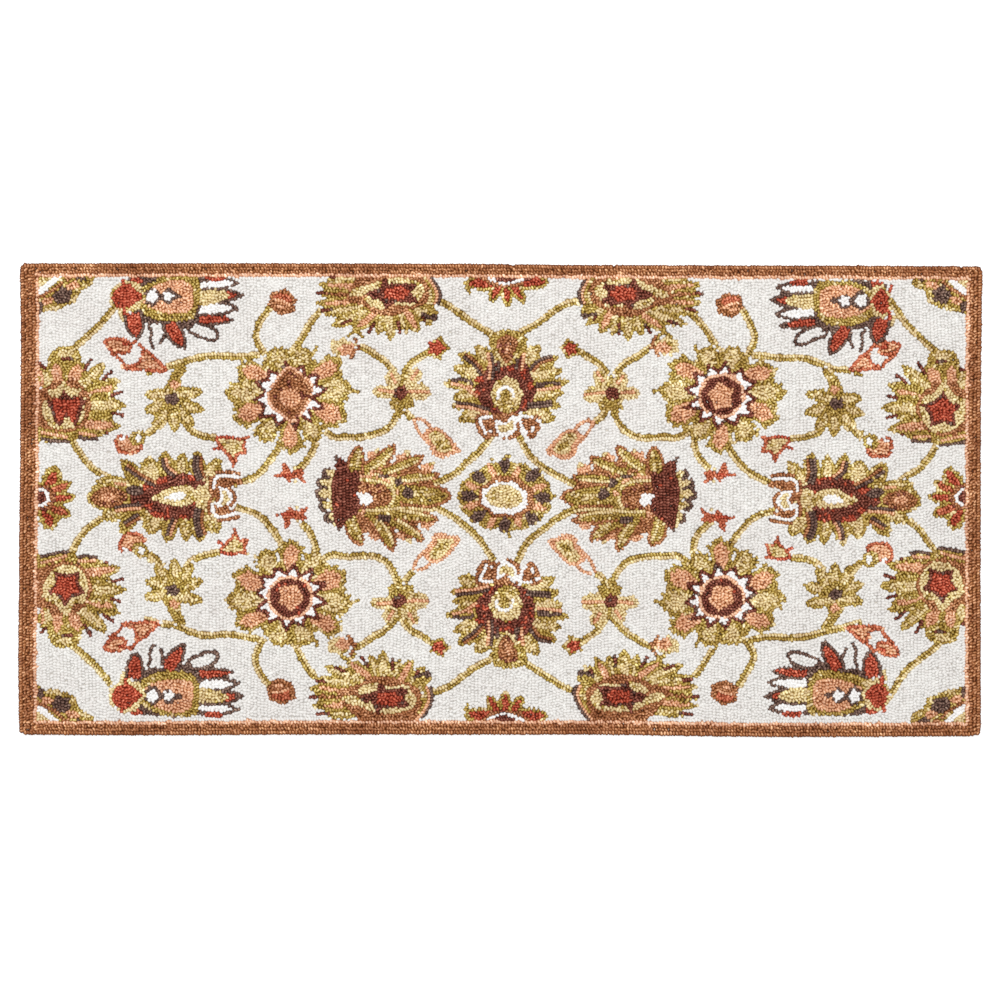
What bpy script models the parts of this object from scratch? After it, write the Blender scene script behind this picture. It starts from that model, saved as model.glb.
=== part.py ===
"""A small hooked wool rug lying flat: one slab of looped pile with a soft, slightly uneven edge.

Metres, +Z up. The origin is at the middle of the underside, the long side runs along X, and the
pattern's right hand side is at +X.
"""
import bmesh
import bpy
import numpy as np

# Driving dimensions
LENGTH = 1.220  # along X, at the straight edges
WIDTH = 0.596  # along Y, at the straight edges
THICKNESS = 0.010  # woven ground and looped pile together
CORNER_RADIUS = 0.004  # the corners as seen from above
RIM_ROUNDING = 0.0035  # the outer row of loops leans over at the top edge
PILE_UNEVENNESS = 0.0004  # how far the top rises or sinks from one hand's breadth to the next
ROUNDING_STEPS = 3
CELLS_ALONG = 48
CELLS_ACROSS = 24

# How far each side strays outwards from its straight line, in millimetres: (share of the side, stray).
# A long side is read from left to right, and a short side from the bottom to the top.
TOP_STRAY = ((0.0, 1.4), (0.25, 1.6), (0.45, 0.9), (0.60, -0.7), (0.80, -1.3), (1.0, -2.2))
BOTTOM_STRAY = ((0.0, -1.2), (0.12, -0.2), (0.30, -1.3), (0.58, -1.2), (0.80, 1.9), (1.0, 0.9))
LEFT_STRAY = ((0.0, 0.9), (0.15, 1.9), (0.40, 0.8), (0.60, -0.6), (0.85, -1.4), (1.0, -0.3))
RIGHT_STRAY = ((0.0, -0.6), (0.40, -0.8), (0.70, -0.5), (0.90, 0.6), (1.0, 1.6))

# Waves of the pile's top: (waves along X, waves along Y, start of the wave in turns, share of the height)
PILE_WAVES = ((1.5, 1.0, 0.10, 0.45), (3.0, 1.5, 0.35, 0.30), (2.0, 3.0, 0.70, 0.25))

YARN_COLOUR = (0.72, 0.68, 0.60)
YARN_ROUGHNESS = 0.95


def clear_scene():
    for thing in list(bpy.data.objects):
        bpy.data.objects.remove(thing, do_unlink=True)


def new_collection(name):
    group = bpy.data.collections.new(name)
    bpy.context.scene.collection.children.link(group)
    return group


def stray(table, share):
    """The smooth outward stray of a side, in metres, at a share of its length."""
    shares, strays = np.transpose(table)
    step = int(np.clip(np.searchsorted(shares, share) - 1, 0, len(shares) - 2))
    part = (share - shares[step]) / (shares[step + 1] - shares[step])
    eased = part * part * (3 - 2 * part)
    return 0.001 * (strays[step] * (1 - eased) + strays[step + 1] * eased)


def laid_out(x, y):
    """Where a point of the plain rectangle goes when its sides stray as the real ones do."""
    along = x / LENGTH + 0.5
    across = y / WIDTH + 0.5
    left, right = -stray(LEFT_STRAY, across), stray(RIGHT_STRAY, across)
    bottom, top = -stray(BOTTOM_STRAY, along), stray(TOP_STRAY, along)
    return x + left * (1 - along) + right * along, y + bottom * (1 - across) + top * across


def pile_rise(x, y):
    """How far the pile's top stands above or below its mean height."""
    rise = 0.0
    for along, across, start, share in PILE_WAVES:
        rise += share * np.sin(2 * np.pi * (along * x / LENGTH + across * y / WIDTH + start))
    return PILE_UNEVENNESS * rise


def subdivided_slab():
    """A box with its underside at z = 0, whose top and sides are split into a grid."""
    slab = bmesh.new()
    bmesh.ops.create_cube(slab, size=1.0)
    bmesh.ops.translate(slab, verts=slab.verts, vec=(0, 0, 0.5))
    bmesh.ops.scale(slab, verts=slab.verts, vec=(LENGTH, WIDTH, THICKNESS))
    for axis, cells in ((0, CELLS_ALONG), (1, CELLS_ACROSS)):
        runs = [e for e in slab.edges if abs(e.verts[0].co[axis] - e.verts[1].co[axis]) > THICKNESS * 1.5]
        bmesh.ops.subdivide_edges(slab, edges=runs, cuts=cells - 1, use_grid_fill=True)
    return slab


def centre_on_origin(slab):
    """Puts the middle of the outline's box on the Z axis, which the uneven sides would miss."""
    places = np.array([v.co for v in slab.verts])
    middle = (places.min(0) + places.max(0)) / 2
    bmesh.ops.translate(slab, verts=slab.verts, vec=(-middle[0], -middle[1], 0))


def mark_rim(slab):
    """Weights the top rim and the four upright corner edges, which the Bevel then rounds."""
    weight = slab.edges.layers.float.new("bevel_weight_edge")
    for edge in slab.edges:
        low, high = sorted(v.co.z for v in edge.verts)
        on_rim = low > THICKNESS / 2 and any(abs(f.normal.z) < 0.5 for f in edge.link_faces)
        if on_rim:
            edge[weight] = RIM_ROUNDING / CORNER_RADIUS
        elif high - low > THICKNESS / 2 and edge.calc_face_angle() > np.pi / 4:
            edge[weight] = 1.0


def yarn():
    material = bpy.data.materials.new("wool_pile")
    material.use_nodes = True
    surface = material.node_tree.nodes["Principled BSDF"]
    surface.inputs["Base Color"].default_value = (*YARN_COLOUR, 1)
    surface.inputs["Roughness"].default_value = YARN_ROUGHNESS
    surface.inputs["Metallic"].default_value = 0.0
    return material


def make_rug(group):
    slab = subdivided_slab()
    for vertex in slab.verts:
        x, y, z = vertex.co
        top = z > THICKNESS / 2
        vertex.co.x, vertex.co.y = laid_out(x, y)
        if top:
            vertex.co.z += pile_rise(x, y)
    centre_on_origin(slab)
    underside = [f for f in slab.faces if f.normal.z < -0.5]
    bmesh.ops.dissolve_faces(slab, faces=underside, use_verts=False)
    slab.normal_update()
    mark_rim(slab)
    mesh = bpy.data.meshes.new("rug")
    slab.to_mesh(mesh)
    slab.free()
    rug = bpy.data.objects.new("rug", mesh)
    group.objects.link(rug)
    rounding = rug.modifiers.new("soft rim", "BEVEL")
    rounding.limit_method = "WEIGHT"
    rounding.width = CORNER_RADIUS
    rounding.segments = ROUNDING_STEPS
    mesh.materials.append(yarn())
    mesh.shade_smooth()
    mesh.set_sharp_from_angle(angle=np.radians(40))
    return rug


clear_scene()
make_rug(new_collection("hooked_rug"))
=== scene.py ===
"""The looks of a small hooked wool rug: the loops of its pile, its yarns, its cloth ground, the floor.

The rug is drawn flat on a chart, in millimetres, as patches and strands of yarn. The chart is then
hooked: each loop gets a place, a direction and a yarn. The loops of one yarn are joined in one mesh,
or in two where they are many.
"""
import math

import bpy
import numpy as np
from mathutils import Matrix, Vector


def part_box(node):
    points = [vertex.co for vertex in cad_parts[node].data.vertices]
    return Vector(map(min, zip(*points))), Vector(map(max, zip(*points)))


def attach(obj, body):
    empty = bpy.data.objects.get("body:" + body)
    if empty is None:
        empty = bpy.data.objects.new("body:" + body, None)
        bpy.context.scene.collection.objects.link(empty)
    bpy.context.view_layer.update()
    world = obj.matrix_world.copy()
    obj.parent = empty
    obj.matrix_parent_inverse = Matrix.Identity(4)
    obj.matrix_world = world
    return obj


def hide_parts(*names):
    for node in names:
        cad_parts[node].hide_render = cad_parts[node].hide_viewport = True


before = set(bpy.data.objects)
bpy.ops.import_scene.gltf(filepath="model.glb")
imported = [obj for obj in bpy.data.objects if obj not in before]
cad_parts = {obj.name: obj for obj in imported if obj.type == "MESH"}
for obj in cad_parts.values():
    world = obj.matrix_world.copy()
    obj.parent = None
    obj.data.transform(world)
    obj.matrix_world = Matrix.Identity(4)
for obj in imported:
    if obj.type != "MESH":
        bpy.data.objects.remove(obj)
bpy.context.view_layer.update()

# Chart

MM = 0.001
ROW = 4.5  # from one row of loops to the next, mm
STITCH = 3.9  # from loop to loop along a row, mm
FIELD_STITCH = 3.6  # the same in the columns of the plain ground, mm
CELL = 0.5  # side of a cell of the chart, mm
MARGIN = 10.0  # empty cells round the rug, mm
TOOTH = 6.5, 11.5  # least and greatest width of the points along a leaf's edge, mm
PEAK = 0.6  # how far along its width such a point is highest, as a share
JAG = 0.35  # how far a hooked edge steps in and out, mm


def smooth(*points, closed=False, step=1.5):
    """A curve through the points, sampled about every step."""
    points = np.asarray(points, float)
    if closed:
        before, after = np.roll(points, 1, axis=0), np.roll(points, -1, axis=0)
        beyond = np.roll(points, -2, axis=0)
    else:
        ends = 2 * points[0] - points[1], 2 * points[-1] - points[-2]
        before = np.vstack((ends[0], points[:-2]))
        beyond = np.vstack((points[2:], ends[1]))
        points, after = points[:-1], points[1:]
    found = []
    for a, b, c, d in zip(before, points, after, beyond):
        count = max(2, int(np.hypot(*(c - b)) / step))
        t = (np.arange(count) / count)[:, None]
        found.append(b + (c - a) * t / 2 + (2 * a - 5 * b + 4 * c - d) * t**2 / 2
                     + (3 * b - a - 3 * c + d) * t**3 / 2)
    if not closed:
        found.append(after[-1:])
    return np.vstack(found)


def oval(x, y, wide, high, lobes=0, depth=0.0, turn=0.0, start=0.0):
    """An ellipse of these half sizes, turned in degrees, its rim waved into lobes."""
    angle = np.linspace(0, 2 * np.pi, 72, endpoint=False)
    reach = 1 + depth * np.cos(lobes * (angle - np.radians(start)))
    flat = np.stack((wide * reach * np.cos(angle), high * reach * np.sin(angle)), 1)
    return turned(flat, turn) + (x, y)


def star(x, y, wide, high, tips, depth, turn=0.0, uneven=0.0, seed=0):
    """A star of straight sided tips, notched depth of the way in, some tips longer by uneven."""
    angle = np.pi * np.arange(2 * tips) / tips + np.radians(turn)
    reach = np.where(np.arange(2 * tips) % 2 == 0, 1.0, 1.0 - depth)
    reach = reach + np.random.default_rng(seed).uniform(-uneven, uneven, 2 * tips) / max(wide, high)
    return np.stack((x + wide * reach * np.cos(angle), y + high * reach * np.sin(angle)), 1)


def turned(points, degrees):
    c, s = math.cos(math.radians(degrees)), math.sin(math.radians(degrees))
    return np.asarray(points, float) @ ((c, s), (-s, c))


def blade(root, tip, width, bend=0.0, foot=0.35, belly=0.5, point=0.8):
    """A leaf from root to tip, whose middle line may bend sideways."""
    root, tip = np.asarray(root, float), np.asarray(tip, float)
    t = np.linspace(0, 1, 15)
    along = tip - root
    side = np.array((-along[1], along[0])) / max(np.hypot(*along), 1e-9)
    middle = root + t[:, None] * along + (4 * bend * t * (1 - t))[:, None] * side
    rise = foot + (1 - foot) * np.sin(np.pi / 2 * np.minimum(t / belly, 1))
    fall = (1 - np.clip((t - belly) / (1 - belly), 0, 1) ** 2) ** point
    half = width / 2 * np.where(t < belly, rise, fall)
    slope = np.gradient(middle, axis=0)
    normal = np.stack((-slope[:, 1], slope[:, 0]), 1) / np.hypot(*slope.T)[:, None]
    return np.vstack((middle + half[:, None] * normal, (middle - half[:, None] * normal)[::-1]))


def spaced(line, pitch):
    """Points a pitch apart along a line, and the line's direction at each."""
    steps = np.hypot(*np.diff(line, axis=0).T)
    run = np.concatenate(((0.0,), np.cumsum(steps)))
    count = max(1, int(round(run[-1] / pitch)))
    at = (np.arange(count) + 0.5) * run[-1] / count
    places = np.stack([np.interp(at, run, line[:, k]) for k in (0, 1)], 1)
    ahead = np.stack([np.interp(at + 1, run, line[:, k]) for k in (0, 1)], 1)
    back = np.stack([np.interp(at - 1, run, line[:, k]) for k in (0, 1)], 1)
    return places, np.arctan2(*(ahead - back).T[::-1])


def beside(line, offset):
    """The line moved sideways, to its left if offset is positive."""
    slope = np.gradient(line, axis=0)
    normal = np.stack((-slope[:, 1], slope[:, 0]), 1) / np.maximum(np.hypot(*slope.T), 1e-9)[:, None]
    return line + offset * normal


def close_set(outline, step=1.4):
    """The same closed outline with a point at least every step."""
    found = []
    for a, b in zip(outline, np.roll(outline, -1, axis=0)):
        count = max(1, math.ceil(np.hypot(*(b - a)) / step))
        found.append(a + (np.arange(count) / count)[:, None] * (b - a))
    return np.vstack(found)


def inset(outline, distance):
    """A closed outline drawn in by a distance."""
    slope = np.roll(outline, -1, axis=0) - np.roll(outline, 1, axis=0)
    normal = np.stack((-slope[:, 1], slope[:, 0]), 1) / np.maximum(np.hypot(*slope.T), 1e-9)[:, None]
    x, y = outline.T
    turn = np.sign(np.sum(x * np.roll(y, -1) - y * np.roll(x, -1)))
    return outline + np.reshape(distance, (-1, 1)) * turn * normal


def toothed(outline, bite, rng):
    """The outline with small points of uneven size, each about two loops wide and bite high."""
    outline = close_set(outline, 1.0)
    steps = np.hypot(*(np.roll(outline, -1, axis=0) - outline).T)
    run = np.cumsum(steps) - steps
    marks = np.cumsum(rng.uniform(TOOTH[0], TOOTH[1], int(steps.sum() / TOOTH[0]) + 2))
    marks = marks[: max(2, int(np.searchsorted(marks, steps.sum())))]
    marks = np.concatenate(((0.0,), marks * steps.sum() / marks[-1]))
    tooth = np.searchsorted(marks, run, side="right") - 1
    share = (run - marks[tooth]) / (marks[tooth + 1] - marks[tooth])
    rise = np.where(share < PEAK, share / PEAK, (1 - share) / (1 - PEAK))
    height = rng.uniform(0.4, 1.3, len(marks))[tooth]
    return inset(outline, -bite * (rise * height - 0.35))


class Chart:
    """The rug drawn flat: patches of blended yarns on a grid of cells, and strands, each a single row."""

    def __init__(self, half_length, half_width, ground):
        self.low = np.array((-half_length - MARGIN, -half_width - MARGIN))
        columns, rows = np.ceil(-2 * self.low / CELL).astype(int)
        self.patch = np.zeros((rows, columns), np.int32)
        self.open = np.ones((rows, columns), bool)
        self.blends = [ground]
        self.strands = []

    def cells(self, places):
        """The row and column of the cell that holds each place."""
        columns, rows = np.floor((places - self.low) / CELL).astype(int).T
        return rows.clip(0, self.patch.shape[0] - 1), columns.clip(0, self.patch.shape[1] - 1)

    def middles(self, rows, columns):
        """The middle of each cell."""
        return np.stack((columns + 0.5, rows + 0.5), 1) * CELL + self.low

    def fill(self, outline, blend):
        """Paints a patch over what is there."""
        self.blends.append(blend)
        corners = (outline - self.low) / CELL
        size = self.patch.shape[::-1]
        left, bottom = np.clip(np.floor(corners.min(0)).astype(int), 0, size)
        right, top = np.clip(np.ceil(corners.max(0)).astype(int) + 1, 0, size)
        if right <= left or top <= bottom:
            return
        levels = np.arange(bottom, top) + 0.5
        ends = np.roll(corners, -1, axis=0)
        side, level = np.nonzero((corners[:, 1, None] <= levels) != (ends[:, 1, None] <= levels))
        start, end = corners[side], ends[side]
        way = end - start
        x = start[:, 0] + (levels[level] - start[:, 1]) / way[:, 1] * way[:, 0]
        column = np.clip(np.ceil(x - 0.5).astype(int) - left, 0, right - left)
        crossings = np.zeros((top - bottom, right - left + 1), np.int32)
        np.add.at(crossings, (level, column), 1)
        inside = np.cumsum(crossings, axis=1)[:, :-1] % 2 == 1
        inside &= self.open[bottom:top, left:right]
        self.patch[bottom:top, left:right][inside] = len(self.blends) - 1

    def stay_inside(self):
        """From now on only the patch that was painted last is painted over."""
        self.open = self.patch == len(self.blends) - 1

    def strand(self, line, yarn):
        """Draws one row of loops over what is there."""
        self.blends.append(yarn)
        places, angles = spaced(line, STITCH)
        kept = self.open[self.cells(places)]
        self.strands.append((len(self.blends) - 1, places[kept], angles[kept]))


class Pen:
    """Draws one figure, given in millimetres about its own middle, at its place on the chart."""

    def __init__(self, chart, place, seed, sway, flip=(1, 1), size=1.0):
        self.chart, self.place, self.sway = chart, np.asarray(place, float), sway
        self.size = np.asarray(flip, float) * size
        self.rng = np.random.default_rng(seed)
        self.waves = self.rng.uniform(0, 2 * np.pi, 4)

    def at(self, points):
        """Points of the figure on the chart. A hand's small waverings move each copy in its own way."""
        points = np.asarray(points, float) * self.size
        x, y = points.T
        waver = np.stack((
            np.sin(y / 9 + self.waves[0]) + np.sin((x + y) / 17 + self.waves[1]),
            np.sin(x / 10 + self.waves[2]) + np.sin((x - y) / 19 + self.waves[3]),
        ), 1)
        return points + self.sway * waver + self.place

    def ragged(self, points):
        """A hooked edge steps in and out by about half a loop."""
        x, y = points.T
        step = np.stack((
            np.sin(1.15 * y + 0.5 * x + self.waves[1]) + np.sin(0.71 * y - 0.9 * x + self.waves[2]),
            np.sin(1.07 * x - 0.6 * y + self.waves[3]) + np.sin(0.67 * x + 0.8 * y + self.waves[0]),
        ), 1)
        return points + JAG * step

    def fill(self, outline, blend, edge=None, bite=0.0):
        """A patch, whose rim may be a row of another yarn, or toothed."""
        if bite:
            outline = toothed(outline, bite, self.rng)
        outline = self.ragged(self.at(close_set(outline)))
        self.chart.fill(outline, blend)
        if edge:
            line = inset(outline, STITCH / 2)
            self.chart.strand(np.vstack((line, line[:1])), edge)

    def patch(self, blend, *corners, **rim):
        """A patch whose outline runs smoothly through its corners."""
        self.fill(smooth(*corners, closed=True), blend, **rim)

    def strands(self, line, *yarns):
        """Rows side by side along a line, the first one on its left."""
        for k, yarn in enumerate(yarns):
            self.chart.strand(self.at(beside(line, ((len(yarns) - 1) / 2 - k) * ROW)), yarn)


# Figures


def part_way(root, tip, share):
    """The point at a share of the way from a leaf's root to its tip."""
    root = np.asarray(root, float)
    return root + share * (tip - root)


def around(*steps):
    """Points given as angle in degrees and reach, in turn."""
    return np.array([(r * math.cos(math.radians(a)), r * math.sin(math.radians(a))) for a, r in steps])


def frond(root, tip, width, spur=1.12):
    """A ragged petal: it widens from its root to two spurs, then steps in to its tip."""
    root, tip = np.asarray(root, float), np.asarray(tip, float)
    along = tip - root
    side = np.array((-along[1], along[0])) / np.hypot(*along)
    half = width / 2
    rim = (
        (0, 0.45), (0.3, 0.72), (0.56, 0.86), (0.74, spur), (0.76, 0.7), (0.86, 0.62), (0.92, 0.3),
        (1, 0.05), (0.98, -0.1), (0.84, -0.26), (0.9, -0.58), (0.7, -0.68), (0.66, -spur),
        (0.52, -0.84), (0.25, -0.74), (0, -0.45),
    )
    return np.array([root + u * along + v * half * side for u, v in rim])


def great_rosette(pen, heart="peach"):
    """Ragged petals round a zigzag ring, with an eye of peach."""
    pen.fill(oval(0, 0, 58, 50, 12, 0.05), "olive", bite=2)
    for root, tip, width, blend, share in (
        ((30, 2), (81, 6), 38, "straw", 0.72), ((24, 22), (68, 40), 34, "peach", 0.66),
        ((8, 34), (24, 60), 34, "straw", 0.62), ((-8, 34), (-20, 60), 34, "straw", 0.62),
        ((-26, 22), (-70, 34), 32, "peach", 0.66), ((-32, 2), (-83, 3), 34, "straw", 0.74),
        ((-28, -14), (-74, -30), 38, "peach", 0.66), ((-18, -32), (-38, -59), 32, "straw", 0.6),
        ((0, -36), (1, -77), 34, "peach", 0.62), ((16, -30), (38, -58), 30, "straw", 0.6),
        ((28, -12), (72, -36), 38, "peach", 0.7),
    ):
        pen.fill(frond(root, tip, width), "olive", bite=1.2)
        inner = frond(part_way(root, tip, 0.04), part_way(root, tip, 0.84), width * share, spur=1.0)
        pen.fill(inner, blend, bite=0.9)
    for curl in (
        ((24, 54), (32, 55), (34, 63)), ((-38, -50), (-46, -52), (-44, -44)), ((78, 6), (88, 3)),
        ((-28, -56), (-32, -62)),
    ):
        pen.strands(smooth(*curl), "olive")
    ring = star(0, -1, 46, 43, 12, 0.3, turn=8, uneven=3, seed=5)
    pen.fill(ring, "white")
    pen.strands(np.vstack((ring, ring[:1])), "plum")
    if heart == "brown":
        pen.patch("guard", (0, 36), (13, 28), (27, 16), (29, -2), (18, -22), (3, -37), (-14, -26),
                  (-27, -12), (-28, 4), (-18, 20), (-10, 30))
        pen.patch("russet", (0, 33), (12, 25), (25, 13), (26, -2), (16, -20), (2, -33), (-13, -23),
                  (-24, -10), (-25, 4), (-16, 18), (-9, 27))
        pen.fill(oval(1, -5, 14, 12, 5, 0.05), "peach")
    else:
        pen.fill(oval(0, -1, 30, 28, 5, 0.03, start=40), "guard")
        pen.fill(oval(0, -1, 26, 24, 7, 0.03), "cocoa")
        pen.fill(star(0, -1, 19, 18, 5, 0.26, turn=80, uneven=1.5), "peach", bite=0.8)


def round_rosette(pen):
    """The middle rosette: eight dark petals with pale strokes between them."""
    pen.fill(oval(1, 1, 60, 44, 16, 0.035), "olive")
    petals = (90, 39), (38, 43), (0, 47), (-38, 41), (-90, 33), (-144, 40), (178, 44), (142, 41)
    for turn, reach in petals:
        middle = around((turn, reach))[0]
        outward = around((turn, 9))[0]
        side = around((turn + 90, 7))[0]
        pen.patch("umber", middle - outward, middle + side, middle + 1.3 * outward + 0.5 * side,
                  middle + outward, middle + 1.2 * outward - 0.7 * side, middle - side)
    for turn, reach in (
        (64, 36), (16, 48), (-16, 47), (-62, 34), (-117, 37), (-166, 46), (160, 46), (117, 39),
    ):
        start, end = around((turn, reach - 11), (turn, reach + 9))
        pen.fill(blade(start, end, 8, foot=0.8), "peach")
    for curl in (
        ((-2, 46), (3, 52), (8, 50)), ((5, -44), (7, -52)), ((-14, 46), (-18, 50)), ((58, 2), (66, 1)),
    ):
        pen.strands(smooth(*curl), "olive")
    pen.fill(oval(2, 0, 36, 27, 8, 0.05, start=20), "brown")
    pen.fill(oval(0, -1, 30, 21, 8, 0.05, start=22), "white")
    pen.fill(oval(-1, 0, 23, 14.5, 4, 0.03), "straw")


def ribbed_leaf(pen, root, tip, width, bend, light):
    """A brown edged leaf of olive with a straw rib on the side that light names."""
    shape = {"foot": 0.8, "belly": 0.5, "point": 0.7}
    pen.fill(blade(root, tip, width, bend, **shape), "brown", bite=1.4)
    pen.fill(blade(root, part_way(root, tip, 0.9), width - 6.5, 0.9 * bend, **shape), "olive", bite=0.8)
    root, tip = np.asarray(root, float), np.asarray(tip, float)
    across = turned((tip - root)[None] / np.hypot(*(tip - root)), 90)[0]
    t = np.linspace(0.1, 0.84, 12)[:, None]
    bow = 4 * bend * t * (1 - t)
    pen.strands(root + t * (tip - root) + bow * across + light * 2.4 * across, "straw")


def leaves(pen, rows):
    """Pointed leaves, each given by its root, its tip, its width and its heart."""
    for row in rows:
        pointed_leaf(pen, *row)


def streaks(pen, *strokes):
    """Rows of loops: each stroke is its yarns, from left to right, and the points it runs through."""
    for yarns, *points in strokes:
        pen.strands(smooth(*points), *yarns.split())


def tuft(pen, blend, *places, size):
    """Small ragged blobs that fill in between the leaves."""
    for x, y in places:
        pen.fill(oval(x, y, size, 0.85 * size, 5, 0.12), blend, bite=1)


def fan_palmette(pen):
    """Ribbed leaves fan to the right from a dark cup with a scalloped straw edge."""
    tuft(pen, "peach", (-14, 52), (22, 49), (53, 37), (-13, -48), (23, -47), (53, -33), size=8)
    tuft(pen, "straw", (-9, 59), (28, 56), (59, 42), (30, -55), size=4)
    pen.patch("brown", (-50, 36), (-38, 44), (-14, 49), (4, 46), (24, 46), (36, 40), (56, 28), (64, 16),
              (70, 4), (62, -12), (54, -26), (36, -38), (24, -40), (4, -44), (-14, -46), (-34, -42),
              (-52, -32), bite=1.5)
    for root, tip, width, bend, light in (
        ((-39, 26), (-31, 65), 21, 2, -1), ((-42, -24), (-29, -62), 22, -3, 1),
        ((-25, 35), (13, 68), 19, -4, -1), ((-14, -24), (11, -69), 21, 4, 1),
        ((-2, 32), (49, 53), 19, -3, -1), ((2, -26), (49, -56), 19, 3, 1),
        ((12, 20), (70, 29), 18, -1, -1), ((-10, -20), (72, -29), 20, 3, 1),
    ):
        ribbed_leaf(pen, root, tip, width, bend, light)
    pen.fill(blade((12, 3), (86, 2), 30, foot=0.9, belly=0.5, point=0.6), "brown", bite=1.4)
    pen.fill(blade((8, 3), (80, 2), 23, foot=0.9, belly=0.5, point=0.6), "olive", bite=1)
    pen.patch("olive", (-30, 26), (-8, 28), (10, 22), (22, 10), (22, -4), (10, -18), (-8, -22),
              (-30, -22))
    streaks(pen, ("peach straw", (-32, 24), (-16, 24), (-2, 22), (6, 17)),
            ("straw", (6, 17), (11, 6), (10, -4), (4, -13)),
            ("straw", (-28, -17), (-10, -17), (20, -15), (44, -15), (62, -16)),
            ("straw", (36, 2), (50, 3), (64, 5)), ("straw", (-22, 30), (-4, 29), (20, 21), (34, 19)),
            ("umber", (-7, 28), (6, 27)), ("umber umber", (-8, -26), (8, -27)))
    tuft(pen, "peach", (-16, 30), (15, 6), (-28, -20), size=4)
    pen.fill(oval(19, 19, 5, 5.5), "umber", bite=0.8)
    pen.fill(oval(30, 4, 7, 7.5), "umber", bite=0.8)
    pen.patch("russet", (-38, 17), (-14, 18), (2, 14), (8, 3), (4, -9), (-12, -13), (-38, -14))
    scallops = (-69, 31, 7), (-76, 18, 7), (-78, 4, 8), (-75, -10, 7), (-68, -24, 7)
    for x, y, size in scallops:
        pen.fill(oval(x - 2, y - 1, size + 1, size), "umber")
    for x, y, size in scallops:
        pen.fill(oval(x + 2, y + 1, size, size - 2.8), "straw")
    pen.patch("straw", (-66, 32), (-64, 10), (-58, -32), (-65, -34), (-70, -10), (-71, 15))
    pen.patch("cocoa", (-62, 44), (-57, 49), (-49, 44), (-45, 33), (-33, 31), (-31, 18), (-37, 8),
              (-29, 0), (-31, -12), (-36, -23), (-46, -29), (-54, -38), (-60, -38), (-64, -26),
              (-67, -8), (-67, 12), (-63, 28), bite=1.2)
    streaks(pen, ("umber", (-62, 46), (-63, 54)), ("umber", (-60, -38), (-57, -43)))
    pen.fill(oval(-24, -2, 8.5, 8, 5, 0.1), "white")
    pen.fill(oval(-31, 3, 5, 3.5), "white")


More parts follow.
